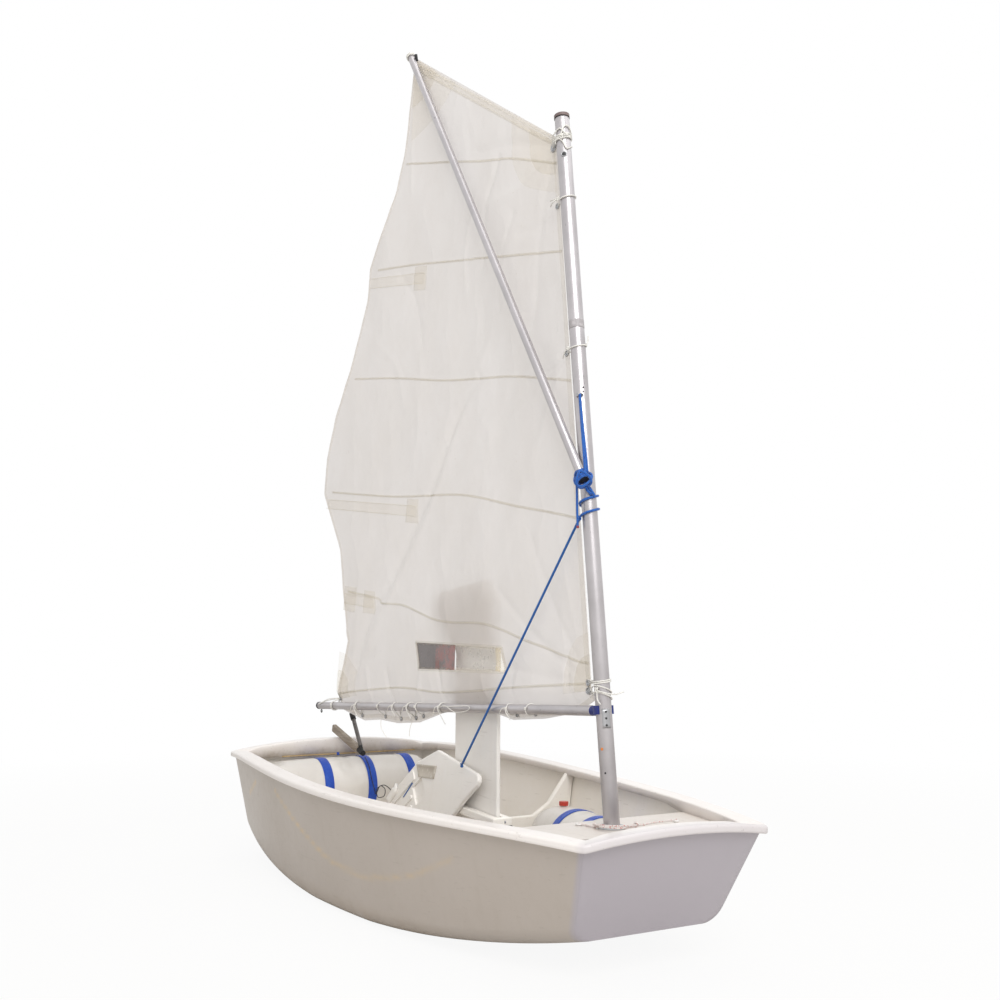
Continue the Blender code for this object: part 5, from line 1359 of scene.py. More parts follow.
def rigCord(name, path, radius, material=whiteCord, sides=8, closed=False):
    # a cord whose path is in the rig's own frame
    return tubePiece(name, rigPoints(path), radius, material, "rig", sides, closed=closed)


def buildSpars():
    sparPiece("mastTube", "mast", (0, 0, 0), (0, 0, rig["mastLength"]), rig["mastRadius"], anodised)
    sparPiece("boomTube", "boom", (rig["boomStart"], 0, boomUp(rig["boomStart"])),
              (rig["boomEnd"], 0, boomUp(rig["boomEnd"])), rig["boomRadius"], anodised)
    sparPiece("spritTube", "sprit", spritPlace(0.015), spritPlace(0.9957), rig["spritRadius"], anodised)
    dressNode("mast_plug", plasticMaterial("plugPlastic", (112, 96, 94), 0.5), 0.002)
    dressNode("boom_end_plug", blackPlastic, 0.002)
    dressNode("boom_eye", blackPlastic, 0.0008)
    dressNode("boom_jaw", navyPlastic, 0.0012)
    dressNode("sprit_foot_fitting", blackPlastic, 0.0015)
    dressNode("sprit_peak_fitting", whitePlastic, 0.003)
    dressNode("mast_eye", steelMetal, 0.001)


whitePlastic = plasticMaterial("whitePlastic", (232, 230, 228), 0.4, (206, 200, 196))
orangePaint = plasticMaterial("orangePaint", (226, 132, 60), 0.5)
buildSpars()


# Marks and small fittings on the mast: degrees from ahead, to port, and the height up it
# the holes are black discs: painted shade inside the tube
mastMarks = {
    "topHole": (-41, 2.244, 0.0065, "dark"), "lowHole": (150, 0.714, 0.0045, "dark"),
    "rivetOne": (-22, 1.503, 0.0030, "dark"), "rivetTwo": (-24, 1.490, 0.0026, "dark"),
    "rivetSide": (-70, 1.476, 0.0024, "brown"), "eyelet": (-40, 1.479, 0.0062, "dark"),
    "orangeDot": (-71, 0.465, 0.0040, "orange"), "footRivet": (-58, 0.400, 0.0028, "dark")}


def onMast(angle, up, out=0.0):
    a, reach = math.radians(angle), rig["mastRadius"] + out
    return (-reach * math.cos(a), reach * math.sin(a), up)


def intoMast(angle, up, inner):
    return axisMatrix(rigPoint(*onMast(angle, up, inner)), rigPoint(*onMast(angle, up, 0.01)))


def mastPatch(name, angles, ups, material, lift):
    # a thin plate bent round the mast
    rows = []
    for up in np.linspace(*ups, 8):
        outer = [onMast(a, up, lift) for a in np.linspace(*angles, 20)]
        inner = [onMast(a, up, -0.0005) for a in np.linspace(*reversed(angles), 20)]
        rows.append(outer + inner)
    return gridPiece(name, rigPoints(rows), material, "rig", ring=True, caps=True)


def buildMastMarks():
    brownMark = plasticMaterial("brownMark", (120, 72, 50), 0.6)
    finishes = {"dark": blackPlastic, "brown": brownMark, "orange": orangePaint}
    pieces = []
    for name, (angle, up, radius, finish) in mastMarks.items():
        matrix = intoMast(angle, up, -0.002)
        pieces.append(turnedPiece(name, roundedProfile(radius, 0.0030, 0.0006), matrix, finishes[finish],
                                  "rig", 20))
    rim = intoMast(*mastMarks["topHole"][:2], -0.001)
    pieces.append(turnedPiece("topHoleRim", [(0.0062, 0), (0.0092, 0.0002), (0.0088, 0.0022),
            (0.0066, 0.0026), (0.0060, 0.0010)], rim, steelMetal, "rig", 28))
    bandGrey = plasticMaterial("bandGrey", (168, 164, 166), 0.45)
    pieces.append(mastPatch("mastBand", (-150, 120), (1.690, 1.716), bandGrey, 0.0005))
    pieces.append(mastPatch("tackPlate", (-52, 4), (0.521, 0.574), steelMetal, 0.0016))
    # black discs in the plate's holes: painted shade
    for up in (0.529, 0.548, 0.566):
        matrix = intoMast(-25, up, 0.001)
        pieces.append(turnedPiece("plateHole", roundedProfile(0.0032, 0.0012, 0.0003), matrix, blackPlastic,
                                  "rig", 16))
    rim = [onMast(a, rig["mastLength"] - 0.002, 0.0002) for a in np.linspace(0, 360, 48, endpoint=False)]
    pieces.append(rigCord("mastTopRim", rim, 0.0012, blackPlastic, 6, closed=True))
    joinPieces("mastMarks", pieces)


buildMastMarks()


# Cord work. Turns lie round a spar and reach out to an eyelet in the cloth.
ties = {"cord": 0.0021, "upper": 0.0016, "leastLoose": 0.032}
looseEnds = []


def turnsRound(centre, square, lift, radius, eyelet, turns, pitch, tilt=0.0):
    # centre, then the two ways square to the spar, then the spar's own way
    centre, eyelet = np.array(centre, float), np.array(eyelet, float)
    outWay, sideWay = (np.array(w, float) for w in square)
    path = []
    for t in np.linspace(0, turns, int(turns * 40) + 1):
        a = 2 * math.pi * t
        onSpar = centre + (outWay * math.cos(a) + sideWay * math.sin(a)) * radius
        pull = max(0.0, math.cos(a)) ** 4
        path.append(onSpar * (1 - pull) + eyelet * pull + np.array(lift) * (pitch * t + tilt * math.sin(a)))
    return path


def tail(*places, radius=0.0019, material=None):
    # the free end of a knotted cord; one long enough to be a cord of its own is made as one
    path = [tuple(p) for p in rigPoints(smoothPath(places, 16))]
    if runLength(path) < max(ties["leastLoose"], 13 * radius):
        return tubePiece("cordEnd", path, radius, material or whiteCord, "rig", 8)
    looseEnds.append(freeCord(f"looseEnd_{len(looseEnds) + 1}", path, radius, material or whiteCord, "rig"))
    return None


def smallKnot(centre, size, radius, material, body="rig"):
    t = circle(60)
    loop = np.stack([np.sin(t) + 2 * np.sin(2 * t), np.sin(3 * t), np.cos(t) - 2 * np.cos(2 * t)],
                    axis=1) * size / 3
    path = np.array(centre) + loop
    return tubePiece("knot", rigPoints(path) if body == "rig" else path, radius, material, body, 8,
                     closed=True)


def eyelet(back, up, radius=0.0075, name="eyelet"):
    # a pressed ring through the cloth
    place = onSail(back, up, 0)
    pieces = []
    for side in (0.0016, -0.0016):
        path = [(back + radius * math.cos(a), place[1] + side, up + radius * math.sin(a))
                for a in circle(28)]
        pieces.append(tubePiece(name, rigPoints(path), radius * 0.30, steelMetal, "rig", 8, closed=True))
    # the hole is filled with a grey disc: painted shade in the hole
    inside = [[(back + radius * 0.85 * math.cos(a), place[1] + s, up + radius * 0.85 * math.sin(a))
               for a in circle(28)] for s in (-0.0019, 0.0019)]
    pieces.append(gridPiece(name, rigPoints(inside), greyPlastic, "rig", ring=True, caps=True))
    return pieces


def luffBack(up):
    low, high = np.array(sail["tack"]), np.array(sail["throat"])
    return float(np.interp(up, (low[1], high[1]), (low[0], high[0])))


# each run of the throat's lashing: its places on the cloth's side, then degrees, height and lift on the mast
throatRuns = (
    (((0.046, -0.006, 2.304), (0.018, -0.0252, 2.318)),
     ((-62, 2.330, 0.003), (-35, 2.318, 0.003), (0, 2.305, 0.003), (40, 2.30, 0.003))),
    (((0.046, -0.005, 2.300), (0.016, -0.0262, 2.298)),
     ((-58, 2.306, 0.004), (-28, 2.334, 0.003), (8, 2.336, 0.003), (60, 2.322, 0.003))),
    ((), ((-120, 2.290, 0.003), (-85, 2.300, 0.0035), (-46, 2.286, 0.0045), (-20, 2.262, 0.003),
          (20, 2.270, 0.003), (70, 2.280, 0.003))))


def buildLuffTies():
    reach = rig["mastRadius"] + ties["cord"] + 0.0006
    rings = []
    places = {"luff_tie_1": (2.306, 3.0, 0.006), "luff_tie_2": (2.108, 1.0, 0.003),
              "luff_tie_3": (1.633, 1.0, 0.003), "luff_tie_4": (0.650, 2.0, 0.005)}
    for node, (up, turns, pitch) in places.items():
        hole = luffBack(up) + 0.014
        pieces = [rigCord(node + "_turns", turnsRound((0, 0, up - turns * pitch / 2), ((1, 0, 0), (0, 1, 0)),
                (0, 0, 1), reach, (hole, onSail(hole, up, 0)[1], up), turns, pitch, 0.004), ties["cord"])]
        rings += eyelet(hole, up)
        if node == "luff_tie_2":
            pieces += [smallKnot((0.012, -0.0285, up + 0.001), 0.0045, 0.0018, whiteCord),
                       tail((0.014, -0.029, up), (0.030, -0.033, up + 0.004), (0.052, -0.026, up + 0.010)),
                       tail((0.014, -0.029, up), (0.032, -0.034, up - 0.006), (0.060, -0.020, up - 0.002))]
        if node == "luff_tie_3":
            pieces += [smallKnot((0.016, -0.027, up + 0.001), 0.0045, 0.0018, whiteCord),
                       tail(onMast(30, up + 0.004, 0.003), onMast(48, up + 0.014, 0.007),
                            onMast(62, up + 0.034, 0.010)),
                       tail((0.018, -0.028, up), (0.034, -0.028, up - 0.012), (0.050, -0.020, up - 0.020))]
        if node == "luff_tie_1":
            # the throat lashing crosses itself up to a hole near the mast's top
            for besideCloth, roundMast in throatRuns:
                run = list(besideCloth) + [onMast(*spot) for spot in roundMast]
                pieces.append(rigCord("throatLashing", smoothPath(run, 60), ties["cord"]))
            pieces.append(smallKnot(onMast(-48, 2.300, 0.007), 0.006, 0.0022, whiteCord))
        if node == "luff_tie_4":
            for low in (0.626, 0.608):
                pieces.append(rigCord("tackTurns", turnsRound((0, 0, low), ((1, 0, 0), (0, 1, 0)), (0, 0, 1),
                        reach, (0.060, 0.004, 0.624), 1.0, 0.004, -0.010), ties["cord"]))
            pieces += [smallKnot(onMast(-72, 0.628, 0.006), 0.006, 0.0021, whiteCord),
                       tail(onMast(-70, 0.625, 0.006), onMast(-30, 0.618, 0.012), onMast(10, 0.612, 0.022),
                            onMast(36, 0.618, 0.038)),
                       tail(onMast(-70, 0.622, 0.006), onMast(-66, 0.600, 0.010), onMast(-50, 0.586, 0.014))]
        tie = joinPieces(node + "_cord", pieces)
        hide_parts(node)
    rings += eyelet(0.066, 0.628, 0.0085)
    rings += eyelet(0.052, 2.304, 0.011)
    return rings


boomTies = {"outer": (1.576, 2, 0.5), "loop": (1.372, 1, 0.0), "middle": (1.248, 1, 0.2),
            "third": (1.130, 2, 0.4),
            "fourth": (1.069, 1, 0.0), "bow": (0.896, 2, 0.9), "inner": (0.469, 1, 0.1),
            "first": (0.358, 1, 0.0)}


def footUp(back):
    shares, drops = np.array(sail["foot"]).T
    tack, clew = np.array(sail["tack"]), np.array(sail["clew"])
    share = (back - tack[0]) / (clew[0] - tack[0])
    return tack[1] + (clew[1] - tack[1]) * share - sail["footDrop"] * float(np.interp(share, shares, drops))


def buildBoomTies():
    rings, pieces = [], []
    reach = rig["boomRadius"] + ties["upper"] + 0.0007
    for number, (back, turns, loose) in enumerate(boomTies.values()):
        up = footUp(back) + 0.016
        side = onSail(back, up, 0)[1]
        rings += eyelet(back, up, 0.0062)
        centre = (back, 0, boomUp(back))
        away = unit(np.array((0, side, up - boomUp(back))))
        cross = np.cross((1, 0, 0), away)
        hole = np.array((back, side, up))
        pieces.append(rigCord("boomTurns", turnsRound(np.array(centre) - (0.004 * turns / 2, 0, 0),
                (away, cross), (1, 0, 0), reach, hole, turns, 0.006, 0.004 * (-1) ** number), ties["upper"]))
        knot = (back + 0.002, -reach - 0.002, boomUp(back) + 0.004)
        pieces.append(smallKnot(knot, 0.0042, 0.0015, whiteCord))
        if loose:
            drop = 0.030 + 0.030 * loose
            pieces.append(tail(knot, (back - 0.012, -reach - 0.010, boomUp(back) - 0.010),
                               (back - 0.026 * (1 + loose), -reach - 0.006, boomUp(back) - drop),
                               radius=0.0015))
            pieces.append(tail(knot, (back + 0.014, -reach - 0.008, boomUp(back) + 0.002),
                               (back + 0.036, -reach - 0.004, boomUp(back) - drop * 0.4), radius=0.0015))
    # the long bow on the boom, and threads that hang from the foot
    low = boomUp(0.78) - reach - 0.002
    bow = smoothPath([(0.90, -0.018, boomUp(0.9)), (0.84, -0.024, low + 0.030), (0.78, -0.022, low + 0.006),
                      (0.70, -0.022, low + 0.008), (0.69, -0.021, low + 0.022), (0.77, -0.024, low + 0.026),
                      (0.86, -0.020, boomUp(0.86) + 0.004)], 60)
    pieces.append(rigCord("bow", bow, 0.0015))
    for back, drop, shift in ((1.41, 0.075, -0.05), (1.16, 0.055, 0.02)):
        start = onSail(back, footUp(back) + 0.006, -0.002)
        pieces.append(tail(start, (back + shift * 0.3, start[1] - 0.008, start[2] - drop * 0.5),
                           (back + shift, start[1] - 0.004, start[2] - drop), radius=0.0008,
                           material=threadYellow))
    joinPieces("boomTies", pieces)
    return rings


def buildClewTie():
    hole = (1.786, onSail(1.786, 0.694, 0)[1], 0.694)
    reach = rig["boomRadius"] + ties["cord"] + 0.0006
    away = unit(np.array((0, hole[1], hole[2] - boomUp(1.807))))
    cross = np.cross((1, 0, 0), away)
    pieces = [rigCord("clewTurns", turnsRound((1.803, 0, boomUp(1.807)), (away, cross), (1, 0, 0), reach,
            hole, 2.0, 0.005, 0.003), ties["cord"])]
    end = rig["boomEnd"] - 0.02
    for lift in (0.0, 0.005):
        run = smoothPath([hole, (1.84, -0.008, boomUp(1.84) + reach + 0.006 + lift),
                          (1.90, -0.010, boomUp(1.90) + reach * 0.85 + lift * 0.5),
                          (end, -0.017, boomUp(end) + 0.004)], 40)
        pieces.append(rigCord("outhaul", run, 0.0017))
    pieces.append(smallKnot((1.80, -0.020, boomUp(1.80)), 0.005, 0.0018, whiteCord))
    tie = joinPieces("clewTieCord", pieces)
    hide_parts("clew_tie")
    return eyelet(1.786, 0.694, 0.0085)


def buildPeakLoop():
    # turns round the sprit's tip, and the peg at the sail's corner
    foot, way = spritAxis()
    corner = np.array((sail["peak"][0], 0.0, sail["peak"][1]))
    middle = foot + way * (np.dot(corner - foot, way) + 0.0085)
    outWay = unit(np.cross(way, (0, 1, 0)))
    sideWay = np.cross(way, outWay)
    pieces = []
    for k in (-1, 0, 1):
        path = roundLoop(middle + way * k * 0.0046, outWay, sideWay, rig["spritRadius"] + 0.0024, 36)
        pieces.append(rigCord("peakTurn", path, 0.0021, closed=True))
    loop = joinPieces("peakTurns", pieces)
    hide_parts("peak_ring")
    start = (0.872, -0.0035, 3.092)
    peg = axisMatrix(rigPoint(*start), rigPoint(0.862, -0.012, 3.118))
    turnedPiece("peakPeg", roundedProfile(0.0062, 0.026, 0.002), peg, blackPlastic, "rig", 20)


grommets = buildLuffTies() + buildBoomTies() + buildClewTie()
joinPieces("sailEyelets", grommets)
buildPeakLoop()
print("spars, eyelets and ties fitted")


# The snotter: a doubled rope from the mast, a knot round the sprit's foot, a short chain, turns round the
# mast
snotter = {"rope": 0.0038, "eyeUp": 1.470, "wrapUp": 1.177, "wrapStart": 15, "wrapTurns": 1.37,
           "wrapPitch": 0.039}


def buildSnotter():
    rope = snotter["rope"]
    foot, way = spritAxis()
    ahead = np.array((-way[2], 0, way[0]))
    out = np.cross(way, ahead)
    pieces = []
    top = np.array(onMast(-48, snotter["eyeUp"], rope + 0.003))
    grip = foot + way * 0.012
    for shift in (-1, 1):
        low = grip + ahead * (0.0185 + rope) + out * shift * rope * 1.05
        slim = top + np.array((0.003, 0.002, 0)) * shift
        pieces.append(rigCord("snotterStrand", smoothPath([slim,
                slim * 0.66 + low * 0.34 + (-0.002, -0.002, 0), slim * 0.3 + low * 0.7 + (-0.003, -0.002, 0),
                low], 60), rope, blueRope, 10))
    pieces.append(rigCord("snotterBight", smoothPath([top + (0.003, 0.002, 0), top + (0.004, 0.003, 0.006),
            top + (-0.003, -0.001, 0.008), top + (-0.003, -0.002, 0)], 20), rope, blueRope, 10))
    # coils round the sprit's foot, then loops over them
    for k, (along, tilt, turn) in enumerate(((-0.002, 0.15, 0.0), (0.0065, -0.12, 1.0), (0.015, 0.18, 2.0))):
        path = []
        for a in circle(44):
            spot = (ahead * math.cos(a) + out * math.sin(a)) * 0.0205
            path.append(foot + way * (along + tilt * 0.03 * math.cos(a + turn)) + spot)
        pieces.append(rigCord("coil", path, rope, blueRope, 10, closed=True))
    middle = foot + way * 0.006
    for tilt, spin, size in ((0.9, 0.2, 0.0262), (-0.8, 1.3, 0.0266), (1.35, 2.4, 0.0258)):
        turnBy = np.array(Matrix.Rotation(spin, 3, Vector(way)) @ Matrix.Rotation(tilt, 3, Vector(ahead)))
        path = []
        for a in circle(50):
            spot = turnBy @ (out * math.cos(a) + ahead * math.sin(a)) * size
            path.append(middle + spot * (1 + 0.05 * math.sin(3 * a)))
        pieces.append(rigCord("coil", path, rope, blueRope, 10, closed=True))
    # short chain of bights down to the mast
    chainTop = np.array(onMast(-45, 1.205, 0.010))
    chainLow = np.array(onMast(-8, 1.176, 0.006))
    chainWay = unit(chainLow - chainTop)
    for k, share in enumerate((0.0, 0.36, 0.72)):
        centre = chainTop + (chainLow - chainTop) * share
        square = unit(np.cross(chainWay, (-1, 0, 0) if k % 2 else (0, 1, 0.3)))
        shift = np.array((-0.003, -0.003, 0)) * (k % 2)
        path = [centre + chainWay * 0.0135 * math.cos(a) + square * 0.0062 * math.sin(a) + shift
                for a in circle(36)]
        pieces.append(rigCord("chain", path, rope * 0.95, blueRope, 10, closed=True))
    # turns round the mast: rope rises to port at the front
    reach = rope + 0.0005
    turns = []
    for t in np.linspace(-0.12, snotter["wrapTurns"], 90):
        turns.append(onMast(snotter["wrapStart"] - 360 * t, snotter["wrapUp"] - snotter["wrapPitch"] * t,
                            reach))
    pieces.append(rigCord("snotterTurns", turns, rope, blueRope, 10))
    hook = turns[-1]
    pieces.append(smallKnot(np.array(hook) + (0.002, -0.004, -0.004), 0.006, rope * 0.85, blueRope))
    # the rope's end hangs beside the mast
    whip = rigPoints(smoothPath([(0.0132, -0.0361, 1.0955), (0.0139, -0.0359, 1.0885)], 4))
    body = joinPieces("snotterRope", pieces)
    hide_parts("snotter")
    sealed = tubePiece("snotterEnd", whip, rope * 0.98, plasticMaterial("sealedEnd", (150, 66, 70), 0.6),
                       "rig", 10)
    hanging = rigPoints(smoothPath([foot + np.array((0.004, -0.022, -0.006)), (-0.006, -0.046, 1.185),
            (0.006, -0.040, 1.140), (0.0135, -0.036, 1.094)], 50))
    freeCord("snotterTail", hanging, rope * 0.92, blueRope, "rig")
    # taut line down to the upper edge of the rudder blade, where it ends in a loop
    start = rigPoint(0.0160, -0.0262, 1.117)
    end = Vector((0.176, -0.052, 0.4535))
    run = [start + (end - start) * t for t in np.linspace(0, 1, 40)]
    line = tubePiece("tautLineRope", run, 0.0038, blueLine, "rig", 10)
    back = np.array(rigMatrix.inverted() @ end) * (-1, 1, 1)
    joinPieces("tautLine", [line, smallKnot(back, 0.006, 0.0024, blueLine)])


buildSnotter()
print("snotter and taut line fitted")


# Inflated bags: a true tube of film, puffed out against its straps
def bagMaterial(name, colour, shadowed):
    material, tree, shader, place = startMaterial(name, colour, 0.34, Specular_IOR_Level=0.45,
            Coat_Weight=0.15, Coat_Roughness=0.25)
    cloud = spread(tree, grain(tree, place, 4.5, 4, 0.6), 0.35, 0.7)
    paint = blendColours(tree, sums(tree, "MULTIPLY", cloud, 0.5), shade(*colour), shade(*shadowed))
    smudge = spread(tree, grain(tree, place, 34, 5, 0.6), 0.60, 0.78)
    paint = stained(tree, paint, smudge, 0.25, (186, 176, 158))
    tree.links.new(paint, shader.inputs["Base Color"])
    under = bumped(tree, shader, grain(tree, place, 13, 5, 0.6), 0.004, 0.45)
    bumped(tree, shader, grain(tree, place, 70, 4, 0.55), 0.0006, 0.5, under)
    return material


bagFilm = bagMaterial("bagFilm", (224, 220, 215), (212, 206, 198))
bags = {"stern_bag": {"straps": 3, "radius": 0.116, "length": 0.780},
        "port_bag": {"straps": 2, "radius": 0.108, "length": 0.620},
        "starboard_bag": {"straps": 2, "radius": 0.108, "length": 0.620}}
bagShape = {"shares": (0.0, 0.012, 0.035, 0.08, 0.15, 0.5), "radii": (0.30, 0.52, 0.74, 0.92, 1.0, 1.0),
            "rows": 84, "around": 72, "strapWidth": 0.040, "strapThick": 0.0022, "steps": 26,
            "puff": 0.0015, "strapSide": 0.0012}


# the film as cloth, in the words of Blender's own settings
filmCloth = {"quality": 5, "mass": 0.25, "tension_stiffness": 22, "compression_stiffness": 22,
             "bending_stiffness": 0.08, "vertex_group_mass": "held", "use_pressure": True,
             "uniform_pressure_force": 9.0, "shrink_min": -0.018}


def solidAxis(node, thin=False):
    # middle and long (or, for a ring, square) axis of a solid of the frame
    mesh = nodes[node].data
    points = np.array([nodes[node].matrix_world @ v.co for v in mesh.vertices])
    centre = points.mean(axis=0)
    ways = np.linalg.svd(points - centre, full_matrices=False)[2]
    way = ways[2] if thin else ways[0]
    return centre, way * (1 if way[np.argmax(abs(way))] > 0 else -1)


def inflate(piece, held, centre, way, limit):
    group = piece.vertex_groups.new(name="held")
    group.add([int(i) for i in held], 1.0, "ADD")
    cloth = piece.modifiers.new("inflated", "CLOTH")
    for key, value in filmCloth.items():
        setattr(cloth.settings, key, value)
    cloth.settings.effector_weights.gravity = 0.3
    cloth.collision_settings.use_collision = False
    cloth.point_cache.frame_start, cloth.point_cache.frame_end = 1, bagShape["steps"]
    for step in range(1, bagShape["steps"] + 1):
        bpy.context.scene.frame_set(step)
    settled = piece.evaluated_get(bpy.context.evaluated_depsgraph_get()).to_mesh()
    places = np.array([v.co for v in settled.vertices])
    piece.modifiers.remove(cloth)
    piece.vertex_groups.remove(group)
    bpy.context.scene.frame_set(1)
    # the film can't pass what it lies against: held to a little over its own radius
    offset = places - centre
    along = offset @ way
    square = offset - along[:, None] * way
    far = np.linalg.norm(square, axis=1)
    square *= (np.minimum(far, limit) / np.maximum(far, 1e-6))[:, None]
    places = centre + along[:, None] * way + square
    piece.data.vertices.foreach_set("co", places.reshape(-1))
    piece.data.update()


def buildBag(node, facts):
    centre, way = solidAxis(node)
    length, radius = facts["length"], facts["radius"]
    first = unit(np.cross(way, (0, 0, 1)))
    second = np.cross(way, first)
    strapAt = [float(np.dot(solidAxis(f"{node}_strap_{k}", thin=True)[0] - centre, way))
               for k in range(1, facts["straps"] + 1)]
    half = np.array(bagShape["shares"])
    share = 0.5 - 0.5 * np.cos(math.pi * np.linspace(0, 1, bagShape["rows"]))
    share = 0.6 * share + 0.4 * np.linspace(0, 1, bagShape["rows"])
    spots = (share - 0.5) * length
    radii = radius * np.interp(np.minimum(share, 1 - share), half, bagShape["radii"])
    for at in strapAt:
        radii -= 0.0016 * np.clip(1 - np.abs(spots - at) / (bagShape["strapWidth"] * 0.62), 0, 1) ** 0.5
    rows = []
    for spot, r in zip(spots, radii):
        rows.append(roundLoop(centre + way * spot, first, second, r, bagShape["around"]))
    piece = gridPiece(node + "_film", rows, bagFilm, "hull", ring=True, caps=True)
    held = []
    for i, spot in enumerate(spots):
        underStrap = any(abs(spot - at) < bagShape["strapWidth"] / 2 for at in strapAt)
        if underStrap or i in (0, bagShape["rows"] - 1):
            held += range(i * bagShape["around"], (i + 1) * bagShape["around"])
    inflate(piece, held, centre, way, radius + bagShape["puff"])
    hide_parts(node)
    for number, at in enumerate(strapAt, 1):
        outward = [first * math.cos(a) + second * math.sin(a) for a in circle(bagShape["around"])]
        path = [centre + way * at + out * (radius + bagShape["strapSide"]) for out in outward]
        strap = ribbonPiece(f"{node}_webbing_{number}", path, outward, bagShape["strapWidth"] - 0.0006,
                            0.0016, strapBlue, "hull", closed=True)
        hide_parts(f"{node}_strap_{number}")


for node, facts in bags.items():
    buildBag(node, facts)
for side in ("port", "starboard"):
    dressNode(f"{side}_bag_cap", redPlastic, 0.002)
print("bags inflated and strapped")


# Stern: tiller, its extension, gudgeons, the cord over the bag, the line under the rail
def woodMaterial():
    material, tree, shader, place = startMaterial("weatheredWood", (150, 138, 124), 0.6)
    rings = grain(tree, place, 26, 5, 0.6, stretch=(0.25, 3.0, 3.0))
    paint = blendColours(tree, spread(tree, rings, 0.35, 0.65), shade(128, 114, 98), shade(172, 160, 146))
    dark = spread(tree, grain(tree, place, 120, 4, 0.6, stretch=(0.1, 4.0, 4.0)), 0.6, 0.7)
    paint = stained(tree, paint, dark, 0.6, (92, 80, 66))
    tree.links.new(paint, shader.inputs["Base Color"])
    bumped(tree, shader, rings, 0.0004, 0.7)
    return material


# Places read off the photograph, in its pixels; the tangle's also say how far forward they are
seenAt = {"bagCord": ((365, 757), (369, 766), (372, 780), (376, 794)),
          "tangle": ((380, 786, -0.797), (385, 789, -0.792), (384, 796, -0.787), (378, 797, -0.781),
                     (377, 789, -0.775), (384, 785, -0.770), (391, 790, -0.765), (392, 794, -0.760)),
          "rudderCord": ((412.5, 783), (408, 790), (403.5, 797)),
          "rudderCheek": ((388, 803), (400, 783), (412, 763)),
          "rudderPanel": ((417, 764), (437, 766), (434, 779), (419, 777)),
          "caseScrew": ((505, 822), (505.2, 822))}
brownSealant = plasticMaterial("brownSealant", (176, 150, 108), 0.7)


def seenRun(tree, pixels, lift, count):
    # a run of places on a piece, read off the photograph, lifted towards the eye
    found = []
    for pixel in smoothPath(pixels, count):
        eye, way = throughPixel(*pixel)
        hit = tree.ray_cast(eye, way)[0]
        if hit is not None:
            found.append(hit - way * lift)
    return found


def buildStern():
    dressNode("tiller", woodMaterial(), 0.002)
    dressNode("tiller_joint", rubber, 0.001)
    dressNode("tiller_extension", metalMaterial("darkAnodised", (104, 100, 98), 0.38), 0.0005)
    dressNode("extension_grip", rubber, 0.0015)
    for name in ("gudgeon_upper", "gudgeon_lower"):
        dressNode(name, steelMetal, 0.0008)
    edge = treeOf(railMoulding)
    line = [p + Vector((0.0008, 0, 0)) for p in (edge.ray_cast(Vector((-0.7, y, 0.3905)),
            Vector((-1, 0, 0)))[0] for y in np.linspace(-0.25, 0.37, 60)) if p]
    strip = ribbonPiece("railSealant", line, [(1, 0, 0)] * len(line), 0.0055, 0.0012, brownSealant, "hull")
    blueBit = [line[len(line) * 2 // 5] + Vector((0.001, 0.012 * k - 0.006, 0)) for k in (0, 0.5, 1)]
    joinPieces("sternMarks", [strip, ribbonPiece("strapEnd", blueBit, [(1, 0, 0.2)] * len(blueBit), 0.012,
            0.0015, strapBlue, "hull")])
    # black cord from the tiller's joint over the middle strap, tangled at its foot
    bag = treeOf(bpy.data.objects["stern_bag_film"], *(bpy.data.objects[f"stern_bag_webbing_{k}"]
            for k in (1, 2, 3)))
    run = seenRun(bag, seenAt["bagCord"], 0.0034, 50)

    def inPlane(px, py, x):
        eye, way = throughPixel(px, py)
        return tuple(eye + way * ((x - eye.x) / way.x))

    tangle = [inPlane(*place) for place in seenAt["tangle"]]
    path = smoothPath([tuple(p) for p in run[::7]] + tangle, 150)
    way = Vector(path[-1]) - Vector(path[-2])
    knob = turnedPiece("cordKnob", roundedProfile(0.007, 0.014, 0.005, 6),
                       axisMatrix(path[-1], Vector(path[-1]) + way), blackPlastic, "hull", 20)
    freeCord("bagCord", path, 0.0017, blackCord, "hull")


buildStern()


# Amidships: stop of the board, mast collar, relief and cord of the rudder, gasket and screw of the case
# painted shade: a darker beige that stands for the sunk panel's recess
recessShade = plasticMaterial("recessShade", (196, 188, 176), 0.6)


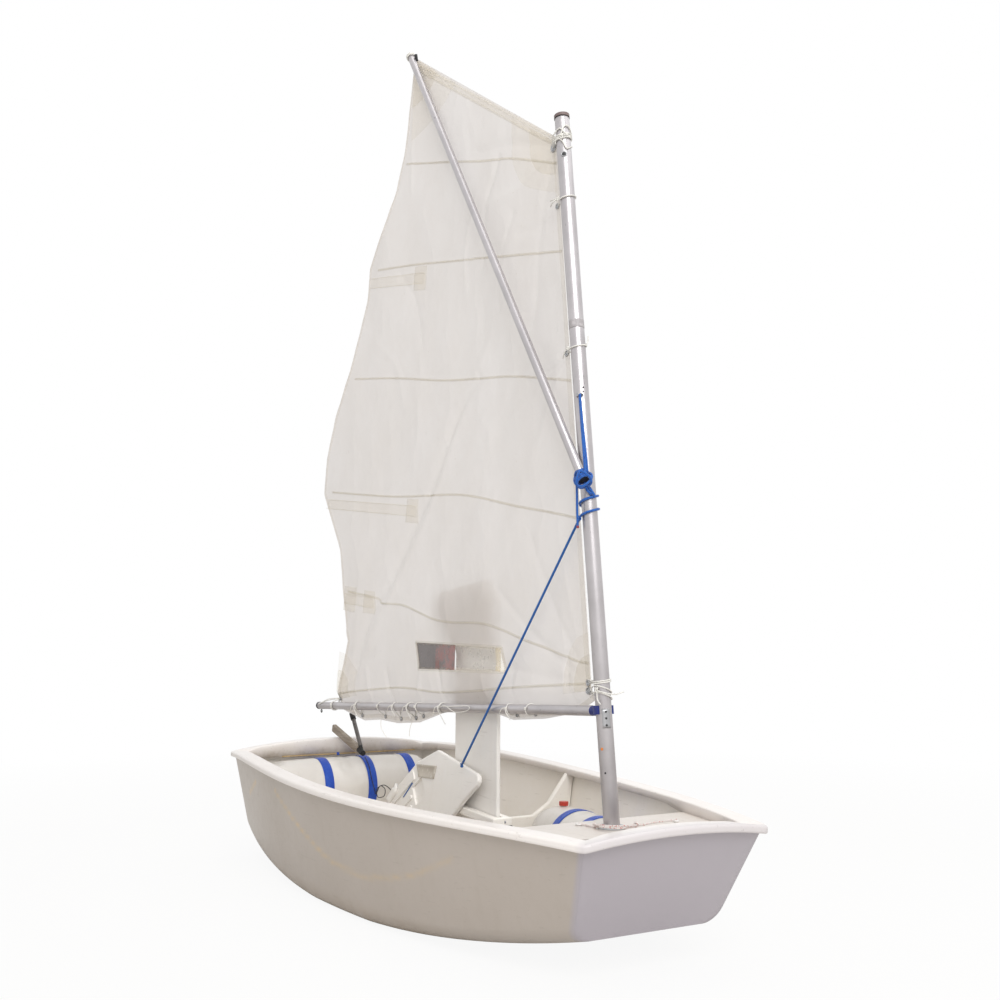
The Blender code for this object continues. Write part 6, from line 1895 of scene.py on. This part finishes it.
def buildAmidships():
    dressNode("daggerboard_stop", whitePlastic, 0.001)
    dressNode("mast_collar", greyPlastic, 0.0015)
    blade = treeOf(nodes["rudder"])
    cord = seenRun(blade, seenAt["rudderCord"], 0.0022, 12)
    if len(cord) > 3:
        tubePiece("rudderCord", cord, 0.0022, blueLine, "hull", 8)
    # a raised cheek, and a low rim that stands for the edge of the sunk panel in the blade's head, darker as
    # painted shade of the recess
    cheek = seenRun(blade, seenAt["rudderCheek"], 0.0, 24)
    face = Vector((0, -0.989, 0.148))
    if len(cheek) > 3:
        ribbonPiece("rudderCheek", cheek, [face] * len(cheek), 0.030, 0.009, boardGelcoat, "hull")
    corners = [seenPoint(blade, *p) for p in seenAt["rudderPanel"]]
    if None not in corners:
        middle = sum(corners, Vector()) / 4
        rows = [[tuple(middle + (corner - middle) * size + face * up) for corner in corners] for size,
                up in ((1.0, 0.0004), (1.0, 0.0030), (0.94, 0.0036), (0.80, 0.0030), (0.72, 0.0008))]
        gridPiece("rudderPanel", rows, recessShade, "hull", ring=True, caps=True)
    box = treeOf(nodes["daggerboard_case"])
    # the gasket runs round the fore end of the case's cap, at its lower edge
    points = np.array([nodes["daggerboard_case"].matrix_world @ v.co
                       for v in nodes["daggerboard_case"].data.vertices])
    fore, wide = points[:, 0].max() + 0.0012, 0.0365
    path = [(fore - 0.10, -wide, 0.2735), (fore - 0.004, -wide, 0.2685), (fore, -wide + 0.004, 0.268),
            (fore, wide - 0.004, 0.268), (fore - 0.004, wide, 0.2685), (fore - 0.10, wide, 0.2735)]
    ways = [(0, -1, 0), (0.2, -1, 0), (1, -0.2, 0), (1, 0.2, 0), (0.2, 1, 0), (0, 1, 0)]
    ribbonPiece("caseGasket", path, ways, 0.010, 0.002, rubber, "hull")
    spot = seenRun(box, seenAt["caseScrew"], 0.0, 2)
    if spot:
        turnedPiece("caseScrew", roundedProfile(0.0045, 0.004, 0.001),
                    axisMatrix(spot[0] + Vector((0, 0.002, 0)), spot[0] - Vector((0, 0.01, 0))), steelMetal,
                    "hull", 16)


buildAmidships()


# A flecked cord lies on the thwart from eye to eye past the mast's foot, and a second run of it ends free
def buildThwartCord():
    up, lifted = 0.3545, 0.3625
    run = smoothPath([(0.846, -0.052, up), (0.906, -0.043, up), (0.962, -0.056, lifted),
                      (1.000, -0.034, lifted), (1.004, 0.004, lifted), (0.988, 0.052, lifted),
                      (0.970, 0.135, lifted), (0.963, 0.194, lifted)], 120)
    wavy = [p + (0.0016 * math.sin(i * 0.5), 0.002 * math.sin(i * 0.33), 0) for i, p in enumerate(run)]
    second = smoothPath([(0.905, -0.038, up), (0.930, -0.052, lifted), (0.985, -0.046, lifted + 0.0045),
                         (1.006, -0.012, lifted + 0.0045), (0.999, 0.036, lifted + 0.002),
                         (0.982, 0.082, lifted)], 80)
    pieces = [tubePiece("thwartCord", wavy, 0.0028, fleckedCord, "hull", 10),
              tubePiece("thwartCord", second, 0.0028, fleckedCord, "hull", 10),
              smallKnot((0.996, 0.030, lifted + 0.004), 0.007, 0.0026, fleckedCord, "hull"),
              smallKnot((0.906, -0.042, up + 0.004), 0.006, 0.0026, fleckedCord, "hull")]
    for x, y, z in ((0.846, -0.052, up - 0.001), (0.963, 0.194, lifted - 0.003)):
        ring = [(x + 0.008 * math.cos(a), y + 0.008 * math.sin(a), z) for a in circle(24)]
        pieces.append(tubePiece("deckEye", ring, 0.0026, whitePlastic, "hull", 8, closed=True))
    pieces.append(turnedPiece("deckStud", roundedProfile(0.0055, 0.010, 0.0015),
                              Matrix.Translation((0.963, 0.194, 0.350)), whitePlastic, "hull", 16))
    joinPieces("thwartLashing", pieces)


buildThwartCord()
print("tiller, cords and small fittings placed")
